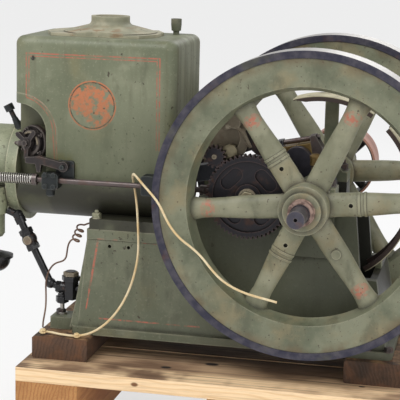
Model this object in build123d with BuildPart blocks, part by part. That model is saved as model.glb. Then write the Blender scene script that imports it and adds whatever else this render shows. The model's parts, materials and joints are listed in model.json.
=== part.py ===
from build123d import *
from math import acos, cos, pi, radians, sin, sqrt, tan
import os

# Horizontal hit-and-miss engine with two flywheels, on two skids and a pallet.
# Millimetres. Z is up, X runs along the cylinder with the crank at its positive end, and the
# front of the engine faces -Y. The origin is on the floor, under the middle of the pallet, on
# the upright plane through the cylinder's axis.

# Pallet and skids
bearer_height = 102
bearer_width = 110
board_thickness = 25
outer_board_width = 155
middle_board_width = 104
board_gap = 5
deck_length = 782
skid_thickness = 40
skid_width = 100
skid_length = 310
skid_left_x = -331
skid_right_x = 213
skid_right_y = 15
deck_width = 2 * outer_board_width + middle_board_width + 2 * board_gap
deck_top = bearer_height + board_thickness
foot_z = deck_top + skid_thickness

# Crank axis
crank_x = 95
crank_height = 266
crank_z = foot_z + crank_height
stroke_half = 63
crank_angle = 127
pin_x = crank_x + stroke_half * cos(radians(crank_angle))
pin_z = crank_z + stroke_half * sin(radians(crank_angle))

# Running fits and seats
running_gap = 0.05
sliding_gap = 0.1
seat_gap = 0.3

# Crankshaft
shaft_radius = 16
cheek_inner = 22
cheek_outer = 40
shaft_near_y = -295
shaft_far_y = 325
stub_radius = 14.5
stub_far_y = -250

# Base casting
base_left_low = -312
base_left_top = -292
base_right_low = 232
base_right_top = 188
base_half_low = 114
base_half_top = 98
base_wall_top = crank_z - 29
base_deck_z = crank_z - 80
base_step_x = -118
foot_flange = 9
foot_flange_height = 14
pit_half_width = 85
pit_left_x = -104
pit_floor_z = 215
pit_end_wall_z = 298
pit_end_wall = 12
wall_end_low = 180
wall_end_top = 168
deck_rail_height = 18
deck_rail_out = 2

# Main bearings
bearing_inner = 60
bearing_outer = 112
bearing_half_width = 38
bearing_drop = 100
cap_radius = 34

# Cylinder and hopper casting
hopper_left = -434
hopper_right = -145
hopper_half = 100
hopper_height = 250
belly_drop = 78
hopper_wall = 14
hopper_top_z = crank_z + hopper_height
hopper_corner = 20
hopper_brow = 15
bore_radius = 49
jacket_wall = 12
alcove_right = -355
alcove_top_z = crank_z + 150
alcove_corner = 70
alcove_depth = 38
mouth_x = -297
mouth_length = 158
mouth_width = 96
cylinder_flange_height = 18
cylinder_flange_half = 104

# Lid on the hopper
lid_length = 198
lid_width = 142
lid_corner_x = 21
lid_corner_y = 46
lid_thickness = 5
neck_x = -289
neck_radius = 34
neck_bore = 27
neck_height = 33
flare_radius = 82
flare_shoulder = 41

# Flywheels
wheel_radius = 254
rim_width = 57
rim_face_inner = 196
rim_waist = 188
rim_band = 12
band_step = 1.5
wheel_face_y = 200
hub_radius = 40
hub_outer_y = 222
hub_inner_y = 150
hub_ring_radius = 31
hub_ring_y = 232
hub_nose_radius = 20.5
hub_nose_y = 246
spoke_count = 6
spoke_half_hub = 20
spoke_half_rim = 17
spoke_depth = 13
spoke_flare = 4
near_spoke_turn = 5
far_spoke_turn = 4
ridge_reaches = (84, 94)
ridge_height = 1.5
spoke_hole_reach = 73
spoke_boss_reach = 92

# Gear train
gear_module = 2.5
addendum = 0.8 * gear_module
dedendum = 1.05 * gear_module
backlash = 0.6
pressure_angle = 20
crank_teeth = 28
cam_teeth = 56
governor_teeth = 14
gear_near_y = -135
gear_width = 14
cam_x = crank_x - gear_module * (crank_teeth + cam_teeth) / 2
cam_tooth_step = 360 / cam_teeth
governor_angle = 20.5 * cam_tooth_step
governor_reach = gear_module * (cam_teeth + governor_teeth) / 2
governor_x = cam_x + governor_reach * cos(radians(governor_angle))
governor_z = crank_z + governor_reach * sin(radians(governor_angle))
gear_far_y = gear_near_y + gear_width
cam_stud_radius = 10
cam_radius = 20
cam_lift = 8
cam_width = 12

# Push rod
rod_radius = 4.75
rod_gear_gap = 0.45
rod_y = gear_far_y + rod_radius + rod_gear_gap
rod_z = crank_z + 4
rod_left = -505
roller_radius = 8
rod_travel = 8
rod_clear = 1
collar_right = -385
collar_width = 8
collar_radius = 10
guide_left = -374
guide_right = -345
rear_guide_x = -184

# Cylinder head
head_left = -512
head_flange_radius = 90
head_flange = 20
head_radius = 80
spring_seat_left = -478
spring_seat_right = -470

# Mixer and fuel line
fuel_y = -80
mixer_x = -475
mixer_top_z = 365
mixer_radius = 16.5
pipe_radius = 6.5
fitting_radius = 9.5

# Connecting rod and piston
rod_length = 245
rod_tilt_rise = pin_z - crank_z
wrist_x = pin_x - sqrt(rod_length**2 - rod_tilt_rise**2)
wrist_radius = 11
piston_gap = 0.3
piston_crown_left = 50
piston_length = 90

# Crank guard
guard_inner = 154
guard_outer = 163
guard_sheet = 3
guard_half_width = 30

# Belt pulley
pulley_radius = 70
pulley_wall = 6
pulley_near_y = 248.5
pulley_far_y = 321

pieces = {}


def front_plane(x, y, z):
    """A plane seen from the front: sketch X is X, sketch Y is Z, and extrusions come forward."""
    return Plane(origin=(x, y, z), x_dir=(1, 0, 0), z_dir=(0, -1, 0))


def end_plane(x, y, z):
    """A plane seen along +X: sketch X is Y, sketch Y is Z, and extrusions go towards +X."""
    return Plane(origin=(x, y, z), x_dir=(0, 1, 0), z_dir=(1, 0, 0))


def gear_outline(teeth, first_tooth):
    """Corner points of a spur gear: involute flanks, radial below the base circle."""
    pitch = gear_module * teeth / 2
    base = pitch * cos(radians(pressure_angle))
    tip = pitch + addendum
    root = pitch - dedendum
    half_pitch = (pi * gear_module / 2 - backlash / 2) / 2 / pitch
    involute_pitch = tan(radians(pressure_angle)) - radians(pressure_angle)
    start = max(base, root)
    flank = []
    for share in (0, 0.35, 0.7, 1):
        radius = start + share * (tip - start)
        roll = acos(base / radius)
        flank.append((radius, half_pitch + involute_pitch - (tan(roll) - roll)))
    if root < base:
        flank.insert(0, (root, flank[0][1]))
    points = []
    for tooth in range(teeth):
        middle = radians(first_tooth) + 2 * pi * tooth / teeth
        for radius, half in flank:
            points.append((radius * cos(middle - half), radius * sin(middle - half)))
        for radius, half in reversed(flank):
            points.append((radius * cos(middle + half), radius * sin(middle + half)))
    return points


# Pallet: three bearers and three boards
bearer_reach = (deck_length - bearer_width) / 2
for name, bearer_x in (("left", -bearer_reach), ("middle", 0), ("right", bearer_reach)):
    with BuildPart() as bearer:
        with BuildSketch():
            with Locations((bearer_x, 0)):
                Rectangle(bearer_width, deck_width)
        extrude(amount=bearer_height)
    pieces[f"bearer_{name}"] = bearer

outer_board_y = (outer_board_width + middle_board_width) / 2 + board_gap
board_places = (
    ("front", -outer_board_y, outer_board_width),
    ("middle", 0, middle_board_width),
    ("rear", outer_board_y, outer_board_width),
)
for name, board_y, board_width in board_places:
    with BuildPart() as board:
        with BuildSketch(Plane.XY.offset(bearer_height)):
            with Locations((0, board_y)):
                Rectangle(deck_length, board_width)
        extrude(amount=board_thickness)
    pieces[f"deck_board_{name}"] = board

# Skids across the pallet, under the two ends of the base
for name, skid_x, skid_y in (("left", skid_left_x, 0), ("right", skid_right_x, skid_right_y)):
    with BuildPart() as skid:
        with BuildSketch(Plane.XY.offset(deck_top)):
            with Locations((skid_x, skid_y)):
                Rectangle(skid_width, skid_length)
        extrude(amount=skid_thickness)
        chamfer(skid.edges().filter_by(Axis.Y), length=3)
    pieces[f"skid_{name}"] = skid

# Base casting: a tapered box that carries the cylinder and, between two walls, the crank
base_slope = (base_right_low - base_right_top) / (base_wall_top - foot_z)


def base_right_at(z):
    """The outside of the base's right end at a height."""
    return base_right_low - base_slope * (z - foot_z)


with BuildPart() as engine_base:
    with BuildSketch(Plane.XY.offset(foot_z)):
        with Locations(((base_left_low + base_right_low) / 2, 0)):
            Rectangle(base_right_low - base_left_low, 2 * base_half_low)
    with BuildSketch(Plane.XY.offset(base_wall_top)):
        with Locations(((base_left_top + base_right_top) / 2, 0)):
            Rectangle(base_right_top - base_left_top, 2 * base_half_top)
    loft()
    with BuildSketch(Plane.XY.offset(foot_z)):
        with Locations(((base_left_low + base_right_low) / 2, 0)):
            RectangleRounded(
                base_right_low - base_left_low + 2 * foot_flange,
                2 * (base_half_low + foot_flange),
                12,
            )
    extrude(amount=foot_flange_height)
    # The deck under the cylinder is lower than the bearing walls
    with BuildSketch(Plane.XY.offset(base_deck_z)):
        with Locations((base_step_x, 0)):
            Rectangle(400, 400, align=(Align.MAX, Align.CENTER))
    extrude(amount=200, mode=Mode.SUBTRACT)
    with BuildSketch(Plane.XY.offset(base_deck_z - deck_rail_height)):
        with Locations((base_step_x, 0)):
            Rectangle(
                base_step_x - base_left_top + 6,
                2 * (base_half_top + 4 + deck_rail_out),
                align=(Align.MAX, Align.CENTER),
            )
    extrude(amount=deck_rail_height)
    # Bearing housings
    with BuildSketch(front_plane(crank_x, bearing_outer, crank_z)):
        with Locations((0, -bearing_drop / 2)):
            Rectangle(2 * bearing_half_width, bearing_drop)
    extrude(amount=2 * bearing_outer)
    # Crank pit, open above and, over a low wall, at the end
    with BuildSketch(front_plane(0, pit_half_width, 0)):
        with BuildLine():
            Polyline(
                (pit_left_x, pit_floor_z),
                (base_right_at(pit_floor_z) - pit_end_wall, pit_floor_z),
                (base_right_at(pit_end_wall_z) - pit_end_wall, pit_end_wall_z),
                (base_right_low + 50, pit_end_wall_z),
                (base_right_low + 50, crank_z + 50),
                (pit_left_x, crank_z + 50),
                close=True,
            )
        make_face()
    extrude(amount=2 * pit_half_width, mode=Mode.SUBTRACT)
    # Above the end wall the side walls end short of the base's end
    with BuildSketch(front_plane(0, base_half_low + 5, 0)):
        with BuildLine():
            Polyline(
                (wall_end_low, pit_end_wall_z),
                (wall_end_top, base_wall_top + 5),
                (base_right_low + 50, base_wall_top + 5),
                (base_right_low + 50, pit_end_wall_z),
                close=True,
            )
        make_face()
    extrude(amount=2 * base_half_low + 10, mode=Mode.SUBTRACT)
    for side in (-1, 1):
        with BuildSketch(front_plane(crank_x, side * (bearing_inner + bearing_outer) / 2, crank_z)):
            with Locations((0, -bearing_drop / 2)):
                Rectangle(2 * bearing_half_width, bearing_drop)
        extrude(amount=(bearing_outer - bearing_inner) / 2, both=True)
    # Lug on the front wall for the cam gear's stud
    with BuildSketch(front_plane(cam_x, -pit_half_width, crank_z)):
        Circle(26)
        with Locations((0, 0)):
            Rectangle(52, 70, align=(Align.CENTER, Align.MAX))
    extrude(amount=base_half_top - pit_half_width)
    # Foot lugs
    with BuildSketch(Plane.XY.offset(foot_z)):
        with Locations((base_left_low - 30, fuel_y), (base_left_low - 30, -fuel_y)):
            Rectangle(46, 44)
    extrude(amount=22)
    # Shaft bore and two small holes in the front
    with BuildSketch(front_plane(crank_x, bearing_outer + 5, crank_z)):
        Circle(shaft_radius + running_gap)
    extrude(amount=2 * bearing_outer + 10, mode=Mode.SUBTRACT)
    with BuildSketch(front_plane(0, -base_half_low - 5, crank_z - 109)):
        with Locations((-257, 0), (-223, 0)):
            Circle(3)
    extrude(amount=-30, mode=Mode.SUBTRACT)
pieces["engine_base"] = engine_base

# Bearing caps with an oil cup on top
for name, side in (("near", -1), ("far", 1)):
    with BuildPart() as bearing_cap:
        middle = side * (bearing_inner + bearing_outer) / 2
        with BuildSketch(front_plane(crank_x, middle, crank_z)):
            Circle(cap_radius)
            with Locations((0, 9)):
                Rectangle(2 * bearing_half_width, 18)
            with Locations((0, -cap_radius)):
                Rectangle(4 * cap_radius, 2 * cap_radius, mode=Mode.SUBTRACT)
            Circle(shaft_radius + running_gap, mode=Mode.SUBTRACT)
        extrude(amount=(bearing_outer - bearing_inner) / 2 - 3, both=True)
        with BuildSketch(Plane.XY.offset(crank_z + cap_radius - 3)):
            with Locations((crank_x + 16, middle)):
                Circle(9)
        extrude(amount=22)
    pieces[f"bearing_cap_{name}"] = bearing_cap

# Seat of the igniter in the alcove: its face is turned towards the head
igniter_turn = 25
igniter_normal = Vector(-sin(radians(igniter_turn)), -cos(radians(igniter_turn)), 0)
igniter_side = Vector(cos(radians(igniter_turn)), -sin(radians(igniter_turn)), 0)
igniter_seat = Vector(-399, -77, crank_z + 64)
igniter_plane = Plane(origin=igniter_seat, x_dir=igniter_side, z_dir=igniter_normal)

# Cylinder and hopper in one casting
with BuildPart() as hopper_cylinder:
    with BuildSketch(end_plane(hopper_left, 0, 0)):
        with BuildLine():
            Polyline(
                (-hopper_half, crank_z),
                (-hopper_half, hopper_top_z),
                (hopper_half, hopper_top_z),
                (hopper_half, crank_z),
            )
            ThreePointArc(
                (hopper_half, crank_z), (0, crank_z - belly_drop), (-hopper_half, crank_z)
            )
        make_face()
    extrude(amount=hopper_right - hopper_left)
    upright = hopper_cylinder.edges().filter_by(Axis.Z)
    fillet(upright, radius=hopper_corner)
    fillet(hopper_cylinder.faces().sort_by(Axis.Z)[-1].edges(), radius=hopper_brow)
    # Alcove for the igniter
    with BuildSketch(front_plane(0, -hopper_half + alcove_depth, 0)):
        with BuildLine():
            Polyline(
                (alcove_right - alcove_corner, alcove_top_z),
                (hopper_left - 5, alcove_top_z),
                (hopper_left - 5, crank_z),
                (alcove_right, crank_z),
                (alcove_right, alcove_top_z - alcove_corner),
            )
            RadiusArc(
                (alcove_right, alcove_top_z - alcove_corner),
                (alcove_right - alcove_corner, alcove_top_z),
                -alcove_corner,
            )
        make_face()
    extrude(amount=alcove_depth + 5, mode=Mode.SUBTRACT)
    # Water space, L-shaped to pass over the alcove, and its mouth in the top
    inside_low = crank_z + bore_radius + jacket_wall
    inside_top = hopper_top_z - hopper_wall
    with BuildSketch(front_plane(0, hopper_half - hopper_wall, 0)):
        with BuildLine():
            Polyline(
                (hopper_right - hopper_wall, inside_low),
                (hopper_right - hopper_wall, inside_top),
                (hopper_left + hopper_wall, inside_top),
                (hopper_left + hopper_wall, alcove_top_z + hopper_wall),
                (alcove_right + hopper_wall, alcove_top_z + hopper_wall),
                (alcove_right + hopper_wall, inside_low),
                close=True,
            )
        make_face()
    extrude(amount=2 * (hopper_half - hopper_wall), mode=Mode.SUBTRACT)
    with BuildSketch(Plane.XY.offset(inside_top - 1)):
        with Locations((mouth_x, 0)):
            RectangleRounded(mouth_length, mouth_width, 12)
    extrude(amount=hopper_wall + 5, mode=Mode.SUBTRACT)
    # Flange that bolts to the base's deck
    with BuildSketch(Plane.XY.offset(base_deck_z)):
        with Locations((base_step_x - 2, 0)):
            Rectangle(
                base_step_x - base_left_top,
                2 * cylinder_flange_half,
                align=(Align.MAX, Align.CENTER),
            )
    extrude(amount=cylinder_flange_height)
    # Boss under the igniter, flush with the casting's end
    with BuildSketch(igniter_plane):
        Circle(27)
    extrude(amount=-40)
    with BuildSketch(end_plane(hopper_left, 0, crank_z)):
        Rectangle(400, 400)
    extrude(amount=-60, mode=Mode.SUBTRACT)
    # Bore
    with BuildSketch(end_plane(hopper_left - 5, 0, crank_z)):
        Circle(bore_radius)
    extrude(amount=hopper_right - hopper_left + 10, mode=Mode.SUBTRACT)
pieces["hopper_cylinder"] = hopper_cylinder

# Lid: a thin plate that sweeps up into a round filler neck
with BuildPart() as hopper_lid:
    with BuildSketch(Plane.XZ):
        with BuildLine():
            low = hopper_top_z + lid_thickness
            Polyline(
                (neck_x + flare_radius, low),
                (neck_x + flare_radius, hopper_top_z),
                (neck_x + neck_bore, hopper_top_z),
                (neck_x + neck_bore, hopper_top_z + neck_height),
                (neck_x + neck_radius, hopper_top_z + neck_height),
                (neck_x + neck_radius, low + 20),
            )
            TangentArc(
                (neck_x + neck_radius, low + 20),
                (neck_x + flare_shoulder, low + 12),
                tangent=(0, -1),
            )
            Line((neck_x + flare_shoulder, low + 12), (neck_x + flare_radius, low + 1.5))
            Line((neck_x + flare_radius, low + 1.5), (neck_x + flare_radius, low))
        make_face()
    revolve(axis=Axis((neck_x, 0, 0), (0, 0, 1)))
    for lid_z, height, mode in (
        (hopper_top_z, lid_thickness, Mode.ADD),
        (hopper_top_z - 1, neck_height + 5, Mode.INTERSECT),
    ):
        with BuildSketch(Plane.XY.offset(lid_z)):
            with BuildLine():
                corners = []
                for across, along in ((-1, -1), (1, -1), (1, 1), (-1, 1)):
                    corner = (
                        (mouth_x + across * (lid_length / 2 - lid_corner_x), along * lid_width / 2),
                        (mouth_x + across * lid_length / 2, along * (lid_width / 2 - lid_corner_y)),
                    )
                    corners.extend(corner if across * along < 0 else reversed(corner))
                Polyline(*corners, close=True)
            make_face()
            with Locations((neck_x, 0)):
                Circle(neck_bore, mode=Mode.SUBTRACT)
        extrude(amount=height, mode=mode)
pieces["hopper_lid"] = hopper_lid

# Small cup on the hopper's right shoulder
cup_x = -184
cup_y = 59
with BuildPart() as hopper_cup:
    with BuildSketch(Plane.XZ.offset(-cup_y)):
        with BuildLine():
            Polyline(
                (cup_x, hopper_top_z),
                (cup_x + 5.5, hopper_top_z),
                (cup_x + 5.5, hopper_top_z + 6),
                (cup_x + 8.5, hopper_top_z + 7),
                (cup_x + 9.5, hopper_top_z + 18),
                (cup_x + 9.5, hopper_top_z + 28),
                (cup_x + 7, hopper_top_z + 28),
                (cup_x + 6, hopper_top_z + 13),
                (cup_x, hopper_top_z + 13),
                close=True,
            )
        make_face()
    revolve(axis=Axis((cup_x, cup_y, 0), (0, 0, 1)))
pieces["hopper_cup"] = hopper_cup

# Cylinder head with a lug for the rod's spring and a boss for the mixer
with BuildPart() as cylinder_head:
    with BuildSketch(end_plane(hopper_left, 0, crank_z)):
        Circle(head_flange_radius)
    extrude(amount=-head_flange)
    with BuildSketch(end_plane(hopper_left - head_flange, 0, crank_z)):
        Circle(head_radius)
    extrude(amount=head_left + head_flange - hopper_left)
    fillet(cylinder_head.faces().sort_by(Axis.X)[0].edges(), radius=12)
    with BuildSketch(end_plane(spring_seat_left, 0, 0)):
        with Locations((rod_y + 18, rod_z)):
            Rectangle(60, 24)
    extrude(amount=spring_seat_right - spring_seat_left)
    with BuildSketch(end_plane(spring_seat_left - 5, 0, 0)):
        with Locations((rod_y, rod_z)):
            Circle(rod_radius + sliding_gap)
    extrude(amount=spring_seat_right - spring_seat_left + 10, mode=Mode.SUBTRACT)
    with BuildSketch(Plane.XY.offset(mixer_top_z)):
        with Locations((mixer_x, fuel_y)):
            Circle(mixer_radius + 4)
    extrude(amount=crank_z - mixer_top_z - 20)
pieces["cylinder_head"] = cylinder_head

# Mixer below the head: a body, a stem and a mushroom bell
with BuildPart() as mixer_body:
    with BuildSketch(Plane.XZ.offset(-fuel_y)):
        with BuildLine():
            Polyline(
                (mixer_x, mixer_top_z),
                (mixer_x + mixer_radius, mixer_top_z),
                (mixer_x + mixer_radius, mixer_top_z - 36),
                (mixer_x + mixer_radius - 4, mixer_top_z - 42),
                (mixer_x + 6, mixer_top_z - 42),
                (mixer_x + 6, mixer_top_z - 70),
                (mixer_x, mixer_top_z - 70),
                close=True,
            )
        make_face()
    revolve(axis=Axis((mixer_x, fuel_y, 0), (0, 0, 1)))
pieces["mixer_body"] = mixer_body

bell_top_z = mixer_top_z - 70
with BuildPart() as mixer_bell:
    with BuildSketch(Plane.XZ.offset(-fuel_y)):
        with BuildLine():
            Polyline(
                (mixer_x, bell_top_z - 36),
                (mixer_x, bell_top_z),
                (mixer_x + 12, bell_top_z),
                (mixer_x + 31, bell_top_z - 6),
                (mixer_x + 31, bell_top_z - 11),
                (mixer_x + 26, bell_top_z - 12),
            )
            ThreePointArc(
                (mixer_x + 26, bell_top_z - 12),
                (mixer_x + 20, bell_top_z - 29),
                (mixer_x + 7, bell_top_z - 36),
            )
            Line((mixer_x + 7, bell_top_z - 36), (mixer_x, bell_top_z - 36))
        make_face()
    revolve(axis=Axis((mixer_x, fuel_y, 0), (0, 0, 1)))
pieces["mixer_bell"] = mixer_bell

# Fuel line from the mixer's boss down to the valve on the base
fuel_start = Vector(mixer_x + mixer_radius + 6.5, fuel_y, 371)
fuel_bend = Vector(-433, fuel_y, 364)
fuel_elbow = Vector(-372, fuel_y, 244)
valve_port = Vector(-352, fuel_y, 238)
fall = (fuel_elbow - fuel_bend).normalized()
union_middle = fuel_bend + fall * 48
union_half = 14


def tube_between(start, end, radius):
    """A round bar from one point to another, added to the part being built."""
    with BuildSketch(Plane(origin=start, z_dir=(end - start).normalized())) as ring:
        Circle(radius)
    extrude(ring.sketch, amount=(end - start).length)


with BuildPart() as fuel_pipe_upper:
    tube_between(fuel_start, fuel_bend, pipe_radius)
    tube_between(fuel_bend, union_middle - fall * union_half, pipe_radius)
    with Locations(fuel_bend):
        Sphere(fitting_radius)
    tube_between(fuel_bend + fall * 4, fuel_bend + fall * 16, fitting_radius)
pieces["fuel_pipe_upper"] = fuel_pipe_upper

with BuildPart() as fuel_union:
    with BuildSketch(Plane(origin=union_middle - fall * union_half, z_dir=fall)):
        RegularPolygon(12, 8)
    extrude(amount=union_half * 2)
    with Locations(union_middle):
        Sphere(13.5)
pieces["fuel_union"] = fuel_union

with BuildPart() as fuel_pipe_lower:
    tube_between(union_middle + fall * union_half, fuel_elbow, pipe_radius)
    tube_between(fuel_elbow, valve_port - (1, 0, 0), pipe_radius)
    with Locations(fuel_elbow):
        Sphere(fitting_radius)
pieces["fuel_pipe_lower"] = fuel_pipe_lower

valve_x = -334
with BuildPart() as fuel_valve:
    with BuildSketch(Plane.XY.offset(218)):
        with Locations((valve_x, fuel_y)):
            RegularPolygon(14, 6)
    extrude(amount=34)
    with BuildSketch(Plane.XY.offset(252)):
        with Locations((valve_x, fuel_y)):
            RegularPolygon(17, 6)
    extrude(amount=8)
    with BuildSketch(Plane.XY.offset(260)):
        with Locations((valve_x, fuel_y)):
            Circle(9)
    extrude(amount=9)
    tube_between(Vector(valve_port.X + seat_gap, fuel_y, 238), Vector(valve_x, fuel_y, 238), 10)
    tube_between(Vector(valve_x, fuel_y, 237), Vector(base_left_low + 4, fuel_y, 237), 6.5)
    tube_between(Vector(valve_x, fuel_y, 224), Vector(valve_x - 16, fuel_y, 221), 6)
    tube_between(Vector(valve_x - 16, fuel_y, 226), Vector(valve_x - 16, fuel_y, 209.5), 8)
pieces["fuel_valve"] = fuel_valve

with BuildPart() as drop_tube:
    with BuildSketch(Plane.XY.offset(foot_z + 22)):
        with Locations((valve_x - 16, fuel_y)):
            Circle(9)
    extrude(amount=4)
    with BuildSketch(Plane.XY.offset(foot_z + 26)):
        with Locations((valve_x - 16, fuel_y)):
            Circle(4)
    extrude(amount=209.5 - foot_z - 26 - seat_gap)
pieces["drop_tube"] = drop_tube

# Igniter in the alcove
with BuildPart() as igniter_body:
    with BuildSketch(igniter_plane):
        Circle(30)
    extrude(amount=8)
    with BuildSketch(igniter_plane.offset(8)):
        Circle(22)
    extrude(amount=8)
    with BuildSketch(igniter_plane.offset(16)):
        Circle(5)
    extrude(amount=16)
pieces["igniter_body"] = igniter_body

with BuildPart() as igniter_lever:
    with BuildSketch(igniter_plane.offset(18)):
        Circle(10)
        for arm_angle in (50, 150, 265):
            with Locations((13 * cos(radians(arm_angle)), 13 * sin(radians(arm_angle)))):
                SlotOverall(34, 9, rotation=arm_angle)
        Circle(5 + running_gap, mode=Mode.SUBTRACT)
    extrude(amount=8)
pieces["igniter_lever"] = igniter_lever

# Priming cup on the head, leaning away from the hopper
prime_foot = Vector(-444, -38, crank_z + 79)
prime_axis = Vector(-0.48, 0, 0.88).normalized()
prime_plane = Plane(origin=prime_foot, z_dir=prime_axis)
with BuildPart() as priming_cup:
    with BuildSketch(prime_plane):
        Circle(8)
    with BuildSketch(prime_plane.offset(22)):
        Circle(5)
    loft()
    with BuildSketch(prime_plane.offset(22)):
        Circle(4.5)
    extrude(amount=14)
    with BuildSketch(prime_plane.offset(36)):
        Circle(8.5)
    extrude(amount=12)
    with BuildSketch(Plane.YZ.offset(hopper_left - head_flange - 60)):
        with Locations((0, crank_z)):
            Circle(head_flange_radius)
    extrude(amount=60 + head_flange, mode=Mode.SUBTRACT)
pieces["priming_cup"] = priming_cup

# Guide of the push rod on the hopper's front, with the latch's pivot
latch_x = -338
latch_z = crank_z + 29
with BuildPart() as pushrod_guide:
    with BuildSketch(front_plane(0, -hopper_half, 0)):
        with Locations((-338, crank_z + 18)):
            RectangleRounded(32, 40, 5)
    extrude(amount=7)
    with BuildSketch(front_plane((guide_left + guide_right) / 2, -hopper_half - 2, rod_z - 1)):
        RectangleRounded(guide_right - guide_left, 28, 5)
    extrude(amount=24)
    with BuildSketch(front_plane(latch_x, -hopper_half - 7, latch_z)):
        Circle(4)
    extrude(amount=20)
    with BuildSketch(end_plane(guide_left - 5, rod_y, rod_z)):
        Circle(rod_radius + sliding_gap)
    extrude(amount=80, mode=Mode.SUBTRACT)
pieces["pushrod_guide"] = pushrod_guide

with BuildPart() as latch_arm:
    with BuildSketch(front_plane(latch_x, -hopper_half - 9, latch_z)):
        Circle(9)
        with BuildLine():
            Polyline(
                (0, 7),
                (-42, 16),
                (-68, 13),
                (-68, 3),
                (-50, 2),
                (-47, -12),
                (-41, -12),
                (-39, 2),
                (0, -7),
                close=True,
            )
        make_face()
        Circle(4 + running_gap, mode=Mode.SUBTRACT)
    extrude(amount=10)
pieces["latch_arm"] = latch_arm

# Rear guide of the push rod, on the hopper's front near the wheel
with BuildPart() as pushrod_rear_guide:
    with BuildSketch(front_plane(rear_guide_x, -hopper_half, crank_z + 6)):
        RectangleRounded(26, 34, 4)
    extrude(amount=26)
    with BuildSketch(end_plane(rear_guide_x - 25, rod_y, rod_z)):
        Circle(rod_radius + sliding_gap)
    extrude(amount=50, mode=Mode.SUBTRACT)
pieces["pushrod_rear_guide"] = pushrod_rear_guide

# Push rod: from the rocker to a roller clear of the cam
roller_x = cam_x - cam_radius - cam_lift - rod_travel - rod_clear - roller_radius
with BuildPart() as pushrod:
    with BuildSketch(end_plane(rod_left, rod_y, rod_z)):
        Circle(rod_radius)
    extrude(amount=roller_x - 34 - rod_left)
    with BuildSketch(end_plane(collar_right - collar_width, rod_y, rod_z)):
        Circle(collar_radius)
    extrude(amount=collar_width)
    with BuildSketch(front_plane(roller_x - 18, rod_y + 9, rod_z)):
        Rectangle(46, 14)
    extrude(amount=12)
    with BuildSketch(front_plane(roller_x, rod_y + 6, rod_z)):
        Circle(roller_radius)
    extrude(amount=8)
pieces["pushrod"] = pushrod

# Spring round the push rod, between the head's lug and the rod's collar: ridges stand for coils
spring_left = spring_seat_right + seat_gap
spring_right = collar_right - collar_width - seat_gap
spring_turns = 9
spring_wire = 2.4
spring_radius = 10
spring_inner = rod_radius + 0.6
with BuildPart() as pushrod_spring:
    with BuildSketch(Plane(origin=(0, rod_y, rod_z), x_dir=(1, 0, 0), z_dir=(0, -1, 0))):
        with BuildLine():
            pitch = (spring_right - spring_left) / spring_turns
            points = [(spring_left, spring_inner)]
            for turn in range(spring_turns):
                points.append((spring_left + turn * pitch, spring_radius - spring_wire))
                points.append((spring_left + (turn + 0.25) * pitch, spring_radius))
                points.append((spring_left + (turn + 0.6) * pitch, spring_radius))
            points.append((spring_right, spring_radius - spring_wire))
            points.append((spring_right, spring_inner))
            Polyline(*points, close=True)
        make_face()
    revolve(axis=Axis((0, rod_y, rod_z), (1, 0, 0)))
pieces["pushrod_spring"] = pushrod_spring

# Exhaust rocker at the head: a bracket, an arm across the head and the valve's stem
rocker_x = head_left - 16
with BuildPart() as rocker_bracket:
    with BuildSketch(end_plane(rocker_x - 6, -56, rod_z)):
        Rectangle(16, 30)
    extrude(amount=head_left - rocker_x + 6)
pieces["rocker_bracket"] = rocker_bracket

with BuildPart() as rocker_arm:
    with BuildSketch(Plane.XY.offset(rod_z - 7)):
        with BuildLine():
            Polyline(
                (rod_left - seat_gap, rod_y - 8),
                (rod_left - seat_gap, rod_y + 8),
                (rocker_x - 6 - seat_gap, -65),
                (rocker_x - 6 - seat_gap, -47),
                (head_left - 13 - seat_gap, -24),
                (head_left - 13 - seat_gap, -6),
                (head_left - 19, -6),
                (rocker_x - 18, -56),
                (rod_left - 12, rod_y - 8),
                close=True,
            )
        make_face()
    extrude(amount=14)
pieces["rocker_arm"] = rocker_arm

with BuildPart() as valve_stem:
    with BuildSketch(end_plane(head_left, -14, rod_z)):
        Circle(12)
    extrude(amount=-8)
    with BuildSketch(end_plane(head_left - 8, -14, rod_z)):
        Circle(4)
    extrude(amount=-5)
pieces["valve_stem"] = valve_stem

# Cam gear: 56 teeth, a web with four windows, a hub and the cam behind it
with BuildPart() as cam_gear:
    with BuildSketch(front_plane(cam_x, gear_far_y, crank_z)):
        with BuildLine():
            Polyline(*gear_outline(cam_teeth, 0), close=True)
        make_face()
        Circle(cam_stud_radius + running_gap, mode=Mode.SUBTRACT)
    extrude(amount=gear_width)
    with BuildSketch(front_plane(cam_x, gear_near_y, crank_z)):
        Circle(60)
        Circle(22, mode=Mode.SUBTRACT)
    extrude(amount=-4, mode=Mode.SUBTRACT)
    with BuildSketch(front_plane(cam_x, gear_near_y - 1, crank_z)):
        with PolarLocations(41, 4, start_angle=45):
            SlotCenterToCenter(20, 22, rotation=90)
    extrude(amount=-gear_width - 2, mode=Mode.SUBTRACT)
    with BuildSketch(front_plane(cam_x, gear_far_y + cam_width, crank_z)):
        Circle(cam_radius)
        with Locations((cam_lift, 0)):
            Circle(cam_radius)
        Circle(cam_stud_radius + running_gap, mode=Mode.SUBTRACT)
    extrude(amount=cam_width)
pieces["cam_gear"] = cam_gear

# Stud that carries the cam gear
with BuildPart() as cam_stud:
    with BuildSketch(front_plane(cam_x, -base_half_top, crank_z)):
        Circle(cam_stud_radius)
    extrude(amount=-base_half_top - gear_near_y + 4)
    with BuildSketch(front_plane(cam_x, gear_near_y - 1, crank_z)):
        Circle(15)
    extrude(amount=5)
    with BuildSketch(front_plane(cam_x, -base_half_top, crank_z)):
        Circle(18)
    extrude(amount=-base_half_top - gear_far_y - cam_width - 1)
pieces["cam_stud"] = cam_stud

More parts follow.
